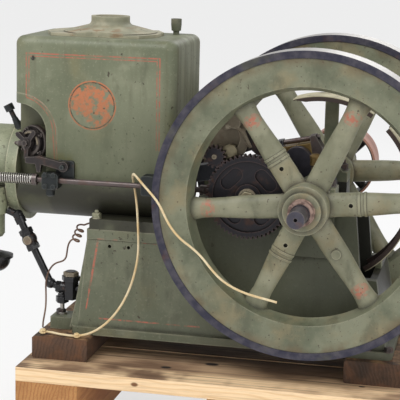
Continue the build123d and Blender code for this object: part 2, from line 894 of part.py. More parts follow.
with BuildPart() as crank_gear:
    with BuildSketch(front_plane(crank_x, gear_far_y, crank_z)):
        with BuildLine():
            Polyline(*gear_outline(crank_teeth, 180 / crank_teeth), close=True)
        make_face()
        Circle(shaft_radius + running_gap, mode=Mode.SUBTRACT)
    extrude(amount=gear_width)
pieces["crank_gear"] = crank_gear

governor_bore = 4
with BuildPart() as governor_gear:
    with BuildSketch(front_plane(governor_x, gear_far_y, governor_z)):
        with BuildLine():
            Polyline(*gear_outline(governor_teeth, governor_angle + 180), close=True)
        make_face()
        Circle(governor_bore + running_gap, mode=Mode.SUBTRACT)
    extrude(amount=gear_width)
pieces["governor_gear"] = governor_gear

# Governor bracket on the hopper's crank end: foot, arm, bosses and a cap
lever_x = -46
lever_z = crank_z + 72
bracket_far_y = -96
bracket_width = 9
with BuildPart() as governor_bracket:
    with BuildSketch(end_plane(hopper_right, -66, crank_z + 84)):
        RectangleRounded(60, 42, 5)
    extrude(amount=8)
    with BuildSketch(front_plane(0, bracket_far_y + 4, 0)):
        with BuildLine():
            Polyline(
                (hopper_right, crank_z + 58),
                (governor_x, governor_z - 12),
                (lever_x + 12, lever_z - 10),
                (lever_x + 26, crank_z + 118),
                (lever_x + 14, crank_z + 140),
                (lever_x - 12, crank_z + 140),
                (governor_x - 10, crank_z + 104),
                (hopper_right, crank_z + 104),
                close=True,
            )
        make_face()
    extrude(amount=bracket_width)
    with BuildSketch(front_plane(governor_x, bracket_far_y, governor_z)):
        Circle(9)
    extrude(amount=bracket_far_y - gear_far_y - 1)
    with BuildSketch(front_plane(governor_x, bracket_far_y, governor_z)):
        Circle(governor_bore)
    extrude(amount=bracket_far_y - gear_near_y + 3)
    with BuildSketch(front_plane(lever_x, bracket_far_y, lever_z)):
        Circle(5)
    extrude(amount=20)
    with BuildSketch(front_plane(lever_x + 1, bracket_far_y, crank_z + 124)):
        RectangleRounded(30, 24, 7)
    extrude(amount=22)
pieces["governor_bracket"] = governor_bracket

with BuildPart() as governor_lever:
    with BuildSketch(front_plane(lever_x, bracket_far_y - 6, lever_z)):
        Circle(12)
        with BuildLine():
            ThreePointArc((-8, -6), (14, 14), (10, 38))
            Line((10, 38), (20, 38))
            ThreePointArc((20, 38), (27, 8), (10, -16))
            Line((10, -16), (-8, -6))
        make_face()
        Circle(5 + running_gap, mode=Mode.SUBTRACT)
    extrude(amount=8)
pieces["governor_lever"] = governor_lever


def build_wheel(side, spoke_turn):
    """A flywheel: turned rim and hub, six oval spokes, and the near wheel's ridges and holes."""
    middle_y = side * (wheel_face_y - rim_width / 2)
    half_rim = rim_width / 2
    with BuildPart() as wheel:
        with BuildSketch(Plane.YZ.offset(crank_x)):
            with BuildLine():
                Polyline(
                    (middle_y, crank_z + rim_waist),
                    (middle_y + half_rim - band_step, crank_z + rim_face_inner),
                    (middle_y + half_rim - band_step, crank_z + wheel_radius - rim_band),
                    (middle_y + half_rim, crank_z + wheel_radius - rim_band),
                    (middle_y + half_rim, crank_z + wheel_radius),
                    (middle_y - half_rim, crank_z + wheel_radius),
                    (middle_y - half_rim, crank_z + wheel_radius - rim_band),
                    (middle_y - half_rim + band_step, crank_z + wheel_radius - rim_band),
                    (middle_y - half_rim + band_step, crank_z + rim_face_inner),
                    close=True,
                )
            make_face()
            with BuildLine():
                Polyline(
                    (side * hub_inner_y, crank_z + 10),
                    (side * hub_inner_y, crank_z + hub_radius),
                    (side * hub_outer_y, crank_z + hub_radius),
                    (side * hub_outer_y, crank_z + hub_ring_radius),
                    (side * hub_ring_y, crank_z + hub_ring_radius),
                    (side * hub_ring_y, crank_z + hub_nose_radius),
                    (side * hub_nose_y, crank_z + hub_nose_radius),
                    (side * hub_nose_y, crank_z + 10),
                    close=True,
                )
            make_face()
        revolve(axis=Axis((crank_x, 0, crank_z), (0, 1, 0)))
        for spoke in range(spoke_count):
            angle = radians(spoke_turn + 360 * spoke / spoke_count)
            outward = Vector(cos(angle), 0, sin(angle))
            across = Vector(-sin(angle), 0, cos(angle))
            centre = Vector(crank_x, middle_y, crank_z)
            sections = (
                (hub_radius - 8, spoke_half_hub + 1),
                (hub_radius + 16, spoke_half_hub),
                ((hub_radius + rim_waist) / 2, (spoke_half_hub + spoke_half_rim) / 2),
                (rim_waist - 16, spoke_half_rim),
                (rim_waist + 4, spoke_half_rim + spoke_flare),
            )
            for reach, half in sections:
                with BuildSketch(Plane(origin=centre + outward * reach, x_dir=across, z_dir=outward)):
                    Ellipse(half, spoke_depth)
            loft()
            if side > 0:
                continue
            # On the near wheel: two ridges and a hole on every other spoke, a boss on the last
            if spoke % 2 == 0:
                for reach in ridge_reaches:
                    ridge_origin = centre + outward * reach
                    with BuildSketch(Plane(origin=ridge_origin, x_dir=across, z_dir=outward)):
                        Ellipse(spoke_half_hub + ridge_height - 1, spoke_depth + ridge_height)
                    extrude(amount=4)
                hole = centre + outward * spoke_hole_reach
                with BuildSketch(front_plane(hole.X, middle_y - spoke_depth + 8, hole.Z)):
                    Circle(3.5)
                extrude(amount=12, mode=Mode.SUBTRACT)
            if spoke == spoke_count - 1:
                boss = centre + outward * spoke_boss_reach
                with BuildSketch(front_plane(boss.X, middle_y - spoke_depth + 3, boss.Z)):
                    Circle(8)
                extrude(amount=5.5)
        with BuildSketch(front_plane(crank_x, side * hub_nose_y + 5, crank_z)):
            Circle(shaft_radius + running_gap)
        extrude(amount=120, both=True, mode=Mode.SUBTRACT)
    return wheel


pieces["flywheel_near"] = build_wheel(-1, near_spoke_turn)
pieces["flywheel_far"] = build_wheel(1, far_spoke_turn)

# Belt pulley outside the far wheel
with BuildPart() as belt_pulley:
    with BuildSketch(front_plane(crank_x, pulley_far_y, crank_z)):
        Circle(pulley_radius)
        Circle(pulley_radius - pulley_wall, mode=Mode.SUBTRACT)
        Circle(26)
    extrude(amount=pulley_far_y - pulley_near_y)
    for arm in range(4):
        angle = radians(45 + 90 * arm)
        outward = Vector(cos(angle), 0, sin(angle))
        start = Vector(crank_x, (pulley_near_y + pulley_far_y) / 2, crank_z) + outward * 22
        with BuildSketch(Plane(origin=start, x_dir=(0, 1, 0), z_dir=outward)):
            Ellipse(14, 8)
        extrude(amount=pulley_radius - 22 - pulley_wall / 2)
    with BuildSketch(front_plane(crank_x, pulley_far_y + 5, crank_z)):
        Circle(shaft_radius + running_gap)
    extrude(amount=100, mode=Mode.SUBTRACT)
pieces["belt_pulley"] = belt_pulley

# Crankshaft: a turned-down stub in front, two journals, two cheeks and the pin
with BuildPart() as crankshaft:
    for start, end, radius in (
        (shaft_near_y, stub_far_y, stub_radius),
        (stub_far_y, -cheek_inner, shaft_radius),
        (cheek_inner, shaft_far_y, shaft_radius),
    ):
        with BuildSketch(front_plane(crank_x, end, crank_z)):
            Circle(radius)
        extrude(amount=end - start)
    with BuildSketch(front_plane(pin_x, cheek_outer, pin_z)):
        Circle(shaft_radius)
    extrude(amount=2 * cheek_outer)
    for near in (-cheek_inner, cheek_outer):
        with BuildSketch(front_plane((crank_x + pin_x) / 2, near, (crank_z + pin_z) / 2)):
            SlotCenterToCenter(stroke_half, 48, rotation=crank_angle)
        extrude(amount=cheek_outer - cheek_inner)
    with BuildSketch(front_plane(crank_x, shaft_near_y, crank_z)):
        Circle(3)
    extrude(amount=-8, mode=Mode.SUBTRACT)
pieces["crankshaft"] = crankshaft

# Connecting rod: small end, tapered shank, foot; then the brasses and the cap
rod_direction = Vector(pin_x - wrist_x, 0, pin_z - crank_z).normalized()
rod_across = Vector(-rod_direction.Z, 0, rod_direction.X)
rod_plane = Plane(origin=(pin_x, 0, pin_z), x_dir=rod_direction, z_dir=(0, -1, 0))
brass_half = 24
end_half_width = 18
with BuildPart() as connecting_rod:
    with BuildSketch(rod_plane):
        with BuildLine():
            Polyline(
                (-rod_length, 13),
                (-brass_half - 22, 17),
                (-brass_half - 10, 36),
                (-brass_half, 36),
                (-brass_half, -36),
                (-brass_half - 10, -36),
                (-brass_half - 22, -17),
                (-rod_length, -13),
                close=True,
            )
        make_face()
        with Locations((-rod_length, 0)):
            Circle(18)
            Circle(wrist_radius + running_gap, mode=Mode.SUBTRACT)
    extrude(amount=12, both=True)
pieces["connecting_rod"] = connecting_rod

with BuildPart() as rod_brasses:
    with BuildSketch(rod_plane):
        Rectangle(2 * brass_half, 48)
        Circle(shaft_radius + running_gap, mode=Mode.SUBTRACT)
        Rectangle(2, 60, mode=Mode.SUBTRACT)
    extrude(amount=end_half_width, both=True)
pieces["rod_brasses"] = rod_brasses

with BuildPart() as rod_cap:
    with BuildSketch(rod_plane):
        with BuildLine():
            Polyline(
                (brass_half, 36),
                (brass_half + 10, 36),
                (brass_half + 18, 14),
                (brass_half + 18, -14),
                (brass_half + 10, -36),
                (brass_half, -36),
                close=True,
            )
        make_face()
    extrude(amount=14, both=True)
    for offset_across in (-30.5, 30.5):
        head = Vector(pin_x, 0, pin_z) + rod_direction * (brass_half + 16) + rod_across * offset_across
        tail = Vector(pin_x, 0, pin_z) - rod_direction * brass_half + rod_across * offset_across
        tube_between(tail, head, 4.5)
pieces["rod_cap"] = rod_cap

with BuildPart() as piston:
    with BuildSketch(end_plane(wrist_x - piston_crown_left, 0, crank_z)):
        Circle(bore_radius - piston_gap)
    extrude(amount=piston_length)
    with BuildSketch(end_plane(wrist_x - piston_crown_left + 14, 0, crank_z)):
        Circle(39)
    extrude(amount=piston_length, mode=Mode.SUBTRACT)
    with BuildSketch(front_plane(wrist_x, 42, crank_z)):
        Circle(wrist_radius)
    extrude(amount=84)
pieces["piston"] = piston

# Crank guard: two stretches of bent sheet round the crank, each with a lip turned in on both sides
def build_guard(first_angle, last_angle):
    """A stretch of channel, from one angle above the crank's axis round to another."""
    outward = Vector(cos(radians(first_angle)), 0, sin(radians(first_angle)))
    axis_direction = Vector(0, 1, 0)
    section_plane = Plane(
        origin=(crank_x, 0, crank_z), x_dir=axis_direction, z_dir=axis_direction.cross(outward)
    )
    with BuildPart() as guard:
        with BuildSketch(section_plane):
            with BuildLine():
                web = guard_half_width - guard_sheet
                Polyline(
                    (-guard_half_width, guard_inner),
                    (-guard_half_width, guard_outer),
                    (guard_half_width, guard_outer),
                    (guard_half_width, guard_inner),
                    (web, guard_inner),
                    (web, guard_outer - guard_sheet),
                    (-web, guard_outer - guard_sheet),
                    (-web, guard_inner),
                    close=True,
                )
            make_face()
        revolve(
            axis=Axis((crank_x, 0, crank_z), axis_direction),
            revolution_arc=first_angle - last_angle,
        )
        if first_angle > 90:
            # The lips are cut back at the upper guard's left end
            with BuildSketch(front_plane(crank_x, guard_half_width + 5, crank_z)):
                with BuildLine():
                    cut = []
                    for radius, angle in ((152, 98), (159.9, 106.5), (159.9, 112), (145, 112)):
                        cut.append((radius * cos(radians(angle)), radius * sin(radians(angle))))
                    Polyline(*cut, close=True)
                make_face()
            extrude(amount=2 * guard_half_width + 10, mode=Mode.SUBTRACT)
    return guard


pieces["crank_guard_upper"] = build_guard(108, 57)
pieces["crank_guard_lower"] = build_guard(44.5, -58)

# Bracket that holds the upper guard up from the far bearing cap
bracket_y = 45
bracket_sheet = 5
bracket_top_z = crank_z + guard_inner + 5
with BuildPart() as guard_bracket:
    with BuildSketch(front_plane(crank_x + 8, bracket_y + bracket_sheet, crank_z + cap_radius)):
        Rectangle(24, bracket_top_z - crank_z - cap_radius, align=(Align.CENTER, Align.MIN))
    extrude(amount=bracket_sheet)
    with BuildSketch(Plane.XY.offset(crank_z + cap_radius)):
        with Locations((crank_x + 8 - 12, bracket_y)):
            Rectangle(10, 36, align=(Align.MIN, Align.MIN))
    extrude(amount=bracket_sheet)
    with BuildSketch(Plane.XY.offset(bracket_top_z - bracket_sheet)):
        with Locations((crank_x + 8, guard_half_width)):
            Rectangle(24, bracket_y - guard_half_width, align=(Align.CENTER, Align.MIN))
    extrude(amount=bracket_sheet)
pieces["guard_bracket"] = guard_bracket

# Foot of the lower guard on the pit's end wall
with BuildPart() as guard_foot:
    with BuildSketch(front_plane(0, 12, 0)):
        with Locations((base_right_at(pit_end_wall_z) - pit_end_wall + 1, pit_end_wall_z)):
            Rectangle(pit_end_wall - 2, 20, align=(Align.MIN, Align.MIN))
        with Locations((crank_x, crank_z)):
            Circle(guard_outer, mode=Mode.SUBTRACT)
    extrude(amount=24)
pieces["guard_foot"] = guard_foot


# Cords: a wire with a pigtail from the cylinder's flange to a knot on the skid, and a lead from
# the knot over the push rod to a cut end in front of the wheel
def corner_radii(route):
    """The arc at each corner of a route takes 0.45 of the shorter run beside it."""
    radii = []
    for before, corner, after in zip(route, route[1:], route[2:]):
        arriving = Vector(*corner) - Vector(*before)
        leaving = Vector(*after) - Vector(*corner)
        half_turn = radians(arriving.get_angle(leaving)) / 2
        radii.append(0.45 * min(arriving.length, leaving.length) / tan(half_turn))
    return radii


def build_cord(route, diameter):
    """A round tube of straight runs and tangent arcs; its radii and length are printed."""
    radii = corner_radii(route)
    first_run = Vector(*route[1]) - Vector(*route[0])
    with BuildPart() as cord:
        with BuildLine() as path:
            FilletPolyline(*route, radius=radii)
        with BuildSketch(Plane(origin=route[0], z_dir=first_run.normalized())):
            Circle(diameter / 2)
        sweep()
    length = sum(edge.length for edge in path.edges())
    section = pi * diameter**2 / 4
    print("cord", round(length, 1), "mm, radii", [round(radius, 1) for radius in radii])
    print("volume over section times length", round(cord.part.volume / section / length, 4))
    return cord


wire_diameter = 3
lead_diameter = 4
knot_x = -365
knot_y = -143
knot_height = 13
pigtail_top = (-308, -100, 360)
pigtail_bottom = (-322, -102, 323)
pigtail_radius = 6.5

wire_start_route = [
    (base_left_top - 2, -97, 362),
    (-297.5, -97, 362),
    (-302, -98, 365),
    (-306.6, -99.8, 363.7),
    pigtail_top,
]
wire_route = [
    pigtail_bottom,
    (-324.3, -102.3, 316.9),
    (-330.5, -104, 311),
    (-333, -106, 301.5),
    (-339.5, -108, 294.5),
    (-350.4, -110, 290),
    (-360.4, -113, 281.9),
    (-366.8, -116, 267.6),
    (-367.8, -120, 252.3),
    (-365, -126, 234),
    (-363.3, -132, 215),
    (-364, -139, 199),
    (knot_x, knot_y, foot_z + knot_height + 8),
    (knot_x, knot_y, foot_z + knot_height),
]
lead_route = [
    (knot_x + 7, knot_y - 1, 173),
    (-350, knot_y - 1, 173),
    (-337, -146, 171.5),
    (-321, -148, 171),
    (-302, -148.5, 171),
    (-278, -147.5, 177),
    (-255, -145.5, 192),
    (-236, -143, 212),
    (-221, -140, 236),
    (-210, -136, 262),
    (-203, -131, 289),
    (-199.5, -126, 316),
    (-200.5, -121, 342),
    (-203.5, -115, 369),
    (-207, -108, 395),
    (-210.5, -105.2, 416),
    (-213.5, -105, 432),
    (-215.5, -106.5, 445),
    (-214.5, -113.5, 454),
    (-210.5, -124, 459),
    (-203, -140, 459.5),
    (-191.5, -160, 456.5),
    (-178, -181, 451.5),
    (-164, -199, 445.5),
    (-151, -209.5, 436.5),
    (-141, -211.5, 424),
    (-133, -211.5, 407.5),
    (-122.5, -211.5, 389),
    (-106, -211.5, 371),
    (-86, -211.5, 358),
    (-68.5, -211.5, 343),
    (-53, -211.5, 324),
    (-35, -211.5, 306.5),
    (-12, -211.5, 294),
    (13, -211.5, 286),
    (37, -211.5, 281.5),
    (57.3, -211.5, 277.2),
]
pieces["ignition_wire_top"] = build_cord(wire_start_route, wire_diameter)
pieces["ignition_wire"] = build_cord(wire_route, wire_diameter)
pieces["cotton_lead"] = build_cord(lead_route, lead_diameter)

with BuildPart() as ignition_pigtail:
    tube_between(Vector(*pigtail_top), Vector(*pigtail_bottom), pigtail_radius)
pieces["ignition_pigtail"] = ignition_pigtail

with BuildPart() as lead_knot:
    with BuildSketch(Plane.XY.offset(foot_z)):
        with Locations((knot_x, knot_y)):
            RectangleRounded(14, 12, 3)
    extrude(amount=knot_height)
pieces["lead_knot"] = lead_knot

os.makedirs("parts", exist_ok=True)
for node, piece in pieces.items():
    piece.part.label = node
    export_step(piece.part, f"parts/{node}.step")
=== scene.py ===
"""Looks of a small horizontal hit-and-miss engine on a timber pallet, built on its CAD frame."""
import json
from math import cos, pi, radians, sin

import bpy
import numpy as np
from mathutils import Matrix, Vector


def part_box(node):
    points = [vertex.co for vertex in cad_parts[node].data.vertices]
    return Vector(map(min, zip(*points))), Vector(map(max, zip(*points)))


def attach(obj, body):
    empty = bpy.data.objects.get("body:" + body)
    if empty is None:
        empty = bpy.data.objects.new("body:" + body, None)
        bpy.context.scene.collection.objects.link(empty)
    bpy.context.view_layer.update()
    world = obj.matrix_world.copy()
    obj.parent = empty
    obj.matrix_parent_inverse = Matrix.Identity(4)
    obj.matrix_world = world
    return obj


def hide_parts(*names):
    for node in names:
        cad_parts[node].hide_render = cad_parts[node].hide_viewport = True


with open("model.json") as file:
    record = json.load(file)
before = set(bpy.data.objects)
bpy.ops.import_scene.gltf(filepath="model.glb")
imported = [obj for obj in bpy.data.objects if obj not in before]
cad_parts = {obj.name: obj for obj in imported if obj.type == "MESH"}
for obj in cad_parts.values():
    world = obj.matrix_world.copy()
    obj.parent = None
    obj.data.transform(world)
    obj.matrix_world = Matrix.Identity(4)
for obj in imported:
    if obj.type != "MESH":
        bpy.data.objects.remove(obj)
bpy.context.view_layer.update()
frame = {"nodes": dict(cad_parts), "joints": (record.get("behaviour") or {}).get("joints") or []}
nodes = frame["nodes"]

# Places taken from the frame, in metres
joints = {joint["name"]: joint for joint in frame["joints"]}
CRANK_X, _, CRANK_Z = joints["flywheel_spin"]["pos_m"]
CRANK = (CRANK_X, CRANK_Z)
CAM_X, _, CAM_Z = joints["cam_spin"]["pos_m"]
GOVERNOR_X, _, GOVERNOR_Z = joints["governor_lever_swing"]["pos_m"]
_, ROD_Y, ROD_Z = joints["pushrod_slide"]["pos_m"]
SKID_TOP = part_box("skid_left")[1][2]
HEAD_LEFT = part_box("cylinder_head")[0][0]
HOPPER_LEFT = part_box("hopper_cylinder")[0][0]
KNOT = np.mean(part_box("lead_knot"), axis=0)[:2].tolist()
BEARING_YS = [np.mean(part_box(cap), axis=0)[1] for cap in ("bearing_cap_near", "bearing_cap_far")]

# The ways out of the igniter's plate and along it, and its seat, which is behind the lever's pivot
PIVOT_REACH = 0.022
IGNITER_OUT = np.array(joints["igniter_trip"]["axis"])
IGNITER_SIDE = np.array((-IGNITER_OUT[1], IGNITER_OUT[0], 0))
IGNITER = np.array(joints["igniter_trip"]["pos_m"]) - PIVOT_REACH * IGNITER_OUT

# Sizes that the frame doesn't give
HOPPER_CORNER, HOPPER_HALF = 0.02, 0.1
WIRE_DIAMETER, LEAD_DIAMETER = 0.003, 0.004


# Camera, lights and floor


def place_camera():
    """Sets the camera from its place and its yaw, pitch and roll: right, up and back are its axes."""
    yaw, pitch, roll = radians(12.25), radians(11.125), radians(1.36)
    ahead = np.array([-sin(yaw) * cos(pitch), cos(yaw) * cos(pitch), -sin(pitch)])
    level = np.array([cos(yaw), sin(yaw), 0.0])
    rise = np.cross(level, ahead)
    right = cos(roll) * level + sin(roll) * rise
    up = cos(roll) * rise - sin(roll) * level
    turn = np.eye(4)
    turn[:3, 0], turn[:3, 1], turn[:3, 2], turn[:3, 3] = right, up, -ahead, (0.405, -2.42, 0.883)
    data = bpy.data.cameras.new("photo_camera")
    data.lens, data.sensor_width, data.clip_end = 127.62, 36.0, 60.0
    camera = bpy.data.objects.new("photo_camera", data)
    bpy.context.collection.objects.link(camera)
    camera.matrix_world = Matrix(turn.tolist())
    bpy.context.scene.camera = camera


def add_lamp(name, place, aim, size, power):
    """A square area lamp at a place, turned to face a point."""
    data = bpy.data.lights.new(name, "AREA")
    data.size, data.energy = size, power
    lamp = bpy.data.objects.new(name, data)
    bpy.context.collection.objects.link(lamp)
    lamp.location = place
    gaze = Vector(aim) - lamp.location
    lamp.rotation_euler = gaze.to_track_quat("-Z", "Y").to_euler()


# Shader maths


class Wire:
    """A socket of a node tree. Python's operators on it add Math nodes."""

    def __init__(self, finish, socket):
        self.finish, self.socket = finish, socket

    def math(self, operation, *values):
        return self.finish.node("ShaderNodeMath", {"operation": operation}, dict(enumerate(values)))

    def __add__(self, other):
        return self.math("ADD", self, other)

    def __sub__(self, other):
        return self.math("SUBTRACT", self, other)

    def __rsub__(self, other):
        return self.math("SUBTRACT", other, self)

    def __mul__(self, other):
        return self.math("MULTIPLY", self, other)

    def __pow__(self, other):
        return self.math("POWER", self, other)

    def __abs__(self):
        return self.math("ABSOLUTE", self)

    def __gt__(self, other):
        return self.math("GREATER_THAN", self, other)

    __radd__, __rmul__ = __add__, __mul__

    def least(self, other):
        return self.math("MINIMUM", self, other)

    def most(self, other):
        return self.math("MAXIMUM", self, other)

    def sine(self):
        return self.math("SINE", self)

    def ramp(self, low, high):
        """0 below low, 1 above high, smooth between; falls instead where low is more than high."""
        if low > high:
            return 1 - self.ramp(high, low)
        return self.finish.node(
            "ShaderNodeMapRange", {"interpolation_type": "SMOOTHSTEP"},
            {"Value": self, "From Min": low, "From Max": high})


def joined(shares):
    """The greatest of several shares at each place."""
    whole, *others = shares
    for share in others:
        whole = whole.most(share)
    return whole


class Finish:
    """A material in the making: its methods add nodes and give back wires."""

    def __init__(self, name):
        self.material = bpy.data.materials.new(name)
        self.material.use_nodes = True
        self.tree = self.material.node_tree
        self.shader = self.tree.nodes["Principled BSDF"]
        self.place = self.node("ShaderNodeTexCoord", out="Object")
        split = self.node("ShaderNodeSeparateXYZ", {}, {0: self.place})
        self.x, self.y, self.z = (Wire(self, split.socket.node.outputs[i]) for i in range(3))
        facing = self.node("ShaderNodeSeparateXYZ", {}, {0: self.node("ShaderNodeNewGeometry", out="Normal")})
        self.facing_up = Wire(self, facing.socket.node.outputs[2])
        self.facing_back = Wire(self, facing.socket.node.outputs[1])

    def node(self, kind, settings=None, inputs=None, out=0):
        """Adds a node: first its settings, then the values or links of its sockets."""
        made = self.tree.nodes.new(kind)
        for key, value in (settings or {}).items():
            setattr(made, key, value)
        for key, value in (inputs or {}).items():
            self.feed(made.inputs[key], value)
        return Wire(self, made.outputs[out])

    def feed(self, socket, value):
        """Links a wire to a socket, or sets the socket's own value."""
        if isinstance(value, Wire):
            self.tree.links.new(value.socket, socket)
        elif socket.type == "RGBA" and len(value) == 3:
            socket.default_value = (*value, 1)
        else:
            socket.default_value = value

    def noise(self, scale, detail=3, stretch=(1, 1, 1), shift=0.0, rough=0.55):
        """Noise from 0 to 1; its features are about 1/scale metres, longer where stretch is small."""
        at = self.node("ShaderNodeMapping", {}, {
            "Vector": self.place, "Location": (shift,) * 3, "Scale": stretch})
        return self.node("ShaderNodeTexNoise", {}, {
            "Vector": at, "Scale": scale, "Detail": detail, "Roughness": rough}, "Fac")

    def mix(self, share, first, second):
        """The first colour where share is 0, the second where it is 1."""
        return self.node("ShaderNodeMix", {"data_type": "RGBA"}, {0: share, 6: first, 7: second}, 2)

    def crease(self, reach=0.012):
        """1 deep in corners of the same piece, 0 on open faces."""
        open_share = self.node("ShaderNodeAmbientOcclusion", {"samples": 6, "only_local": True},
                               {"Distance": reach}, "AO")
        return open_share.ramp(0.95, 0.45)

    def edge(self, reach=0.004):
        """1 along outer edges of the same piece, 0 inside its faces."""
        inner = self.node("ShaderNodeAmbientOcclusion", {"samples": 6, "only_local": True, "inside": True},
                          {"Distance": reach}, "AO")
        return inner.ramp(0.85, 0.5)

    def segment(self, start, end, half):
        """1 within half a width of a line on the front face, from start to end, each (x, z)."""
        along = np.subtract(end, start)
        length = float(np.hypot(*along))
        ux, uz = (along / length).tolist()
        dx, dz = self.x - start[0], self.z - start[1]
        run = (dx * ux + dz * uz).most(0.0).least(length)
        off_x, off_z = dx - run * ux, dz - run * uz
        far = (off_x * off_x + off_z * off_z) ** 0.5
        return far.ramp(half + 0.0004, half - 0.0004)

    def ring(self, centre, radius, half):
        """1 within half a width of a circle on the front face."""
        far = self.radius(centre)
        return abs(far - radius).ramp(half + 0.0004, half - 0.0004)

    def radius(self, centre):
        """Distance from a line through centre (x, z) along Y."""
        dx, dz = self.x - centre[0], self.z - centre[1]
        return (dx * dx + dz * dz) ** 0.5

    def close(self, color, rough, metal=0.0, bump=None, strength=0.2, depth=0.001, edge=0.0012):
        """Feeds the shader. Edges are softened by a bevel of the normal, then the bump goes over it."""
        self.feed(self.shader.inputs["Base Color"], color)
        self.feed(self.shader.inputs["Roughness"], rough)
        self.feed(self.shader.inputs["Metallic"], metal)
        normal = None
        if edge:
            normal = self.node("ShaderNodeBevel", {"samples": 4}, {"Radius": edge})
        if bump is not None:
            inputs = {"Height": bump, "Strength": strength, "Distance": depth}
            if normal:
                inputs["Normal"] = normal
            normal = self.node("ShaderNodeBump", {}, inputs)
        if normal:
            self.feed(self.shader.inputs["Normal"], normal)
        return self.material


GREEN = (0.205, 0.218, 0.14)
GREEN_DEEP = (0.135, 0.15, 0.09)
GREEN_PALE = (0.29, 0.295, 0.2)
OCHRE = (0.24, 0.2, 0.09)
# Dark olive for runs down the paint, also used as painted shade in the hopper's alcove.
DARK_RUNS_AND_SHADE = (0.1, 0.1, 0.06)
SPECKS = (0.33, 0.33, 0.23)
BLOTCHES = (0.095, 0.1, 0.06)
# Pale beige for edges: worn paint with a painted highlight.
RUBBED_AND_HIGHLIGHT = (0.4, 0.37, 0.26)
BARE_CHIP = (0.05, 0.036, 0.025)
# Near-black brown for creases: grime with painted shade.
GRIME_AND_SHADE = (0.035, 0.028, 0.02)
RUST = (0.13, 0.055, 0.03)
RED = (0.42, 0.12, 0.075)
ORANGE = (0.5, 0.165, 0.07)


def enamel(name, marks=None, tone=1.0, stains_and_shade=None):
    """Old olive enamel: cloudy tone, streaks down, rusty chips, grime with painted shade in corners, and pale
    edges that are worn paint with a painted highlight.

    tone multiplies the paint's colours as painted light: above 1 it gives a lit copy of the enamel, below 1 a
    shaded copy. marks, and the stains and painted shade given last, take the finish and give (colour, share)
    layers that are laid over the paint.
    """
    f = Finish(name)

    # The paint's colours times tone, which makes lit and shaded copies of one enamel: painted light and
    # painted shade.
    def scaled_for_light(color):
        return tuple(tone * v for v in color)

    cloud = f.noise(7, 4)
    paint = f.mix(cloud.ramp(0.32, 0.68), scaled_for_light(GREEN_DEEP), scaled_for_light(GREEN))
    paint = f.mix(f.noise(19, 5, shift=3).ramp(0.5, 0.75) * 0.6, paint, scaled_for_light(GREEN_PALE))
    paint = f.mix(f.noise(11, 3, shift=7).ramp(0.52, 0.8) * 0.5, paint, scaled_for_light(OCHRE))
    streak = f.noise(60, 3, (1, 1, 0.12), 5)
    paint = f.mix(streak.ramp(0.52, 0.8) * 0.45, paint, scaled_for_light(DARK_RUNS_AND_SHADE))
    for color, share in (marks(f) if marks else ()):
        patchy = f.noise(150, 4, shift=2).ramp(0.28, 0.52)
        paint = f.mix(share * patchy, paint, color)
    paint = f.mix(f.noise(240, 3, shift=8).ramp(0.55, 0.72) * 0.35, paint, scaled_for_light(SPECKS))
    paint = f.mix(f.noise(33, 5, (1, 1, 0.35), 12).ramp(0.56, 0.7) * 0.55, paint, scaled_for_light(BLOTCHES))
    chips = (f.noise(150, 2, shift=9).ramp(0.66, 0.7) * cloud.ramp(0.42, 0.6)).most(
        f.noise(300, 2, shift=14).ramp(0.7, 0.73)).most(f.noise(48, 3, shift=4).ramp(0.7, 0.73))
    # Pale edges: worn paint with a painted highlight along them.
    worn = f.edge() * f.noise(40, 4, shift=1).ramp(0.35, 0.6)
    paint = f.mix(worn * 0.75, paint, scaled_for_light(RUBBED_AND_HIGHLIGHT))
    paint = f.mix(chips * 0.85, paint, BARE_CHIP)
    # Grime with painted shade: an occlusion mask darkens the piece's creases.
    grime_and_shade = f.crease() * f.noise(30, 3, shift=6).ramp(0.2, 0.6)
    paint = f.mix(grime_and_shade * 0.85, paint, GRIME_AND_SHADE)
    # Stains and painted shade from the finish's own function go on last.
    for color, share in (stains_and_shade(f) if stains_and_shade else ()):
        paint = f.mix(share, paint, color)
    rough = 0.42 + 0.2 * cloud + 0.25 * grime_and_shade + 0.2 * chips
    lumps = f.noise(90, 4) * 0.5 + f.noise(420, 2) * 0.25 - chips * 0.5
    return f.close(paint, rough, 0.0, lumps, 0.35, 0.0012)


def iron(name, color, rust, rough, metal, edge_wear_and_highlight=(0.35, 0.32, 0.29)):
    """Bare or oiled iron: a dark tone, brown patches, pale edges that are rubbed wear with a painted
    highlight, near-black grime with painted shade in its creases, and a fine cast skin.
    """
    f = Finish(name)
    patch = f.noise(45, 5).ramp(0.62 - 0.3 * rust, 0.8)
    tone = f.mix(f.noise(120, 3, shift=4), color, tuple(0.55 * v for v in color))
    tone = f.mix(patch * 0.8, tone, RUST)
    # Pale edges: rubbed wear with a painted highlight.
    tone = f.mix(f.edge(0.0025) * 0.6, tone, edge_wear_and_highlight)
    # Grime with painted shade: creases darkened near black.
    tone = f.mix(f.crease(0.008) * 0.8, tone, (0.012, 0.01, 0.01))
    bump = f.noise(260, 4)
    return f.close(tone, rough + 0.3 * patch, metal * (1 - 0.7 * patch), bump, 0.3, 0.0006, 0.0007)


def cover(name, dark, pale, rough):
    """A cord's cover: cloudy along its length, with fine threads that cross it slantwise."""
    f = Finish(name)
    weave = (((f.x + f.y + f.z) * 5200).sine() * 0.5 + 0.5) * f.noise(900, 2).ramp(0.3, 0.6)
    tone = f.mix(f.noise(26, 4).ramp(0.35, 0.65), dark, pale)
    tone = f.mix(weave * 0.35, tone, tuple(0.6 * v for v in dark))
    return f.close(tone, rough, 0.0, weave, 0.4, 0.0004, None)


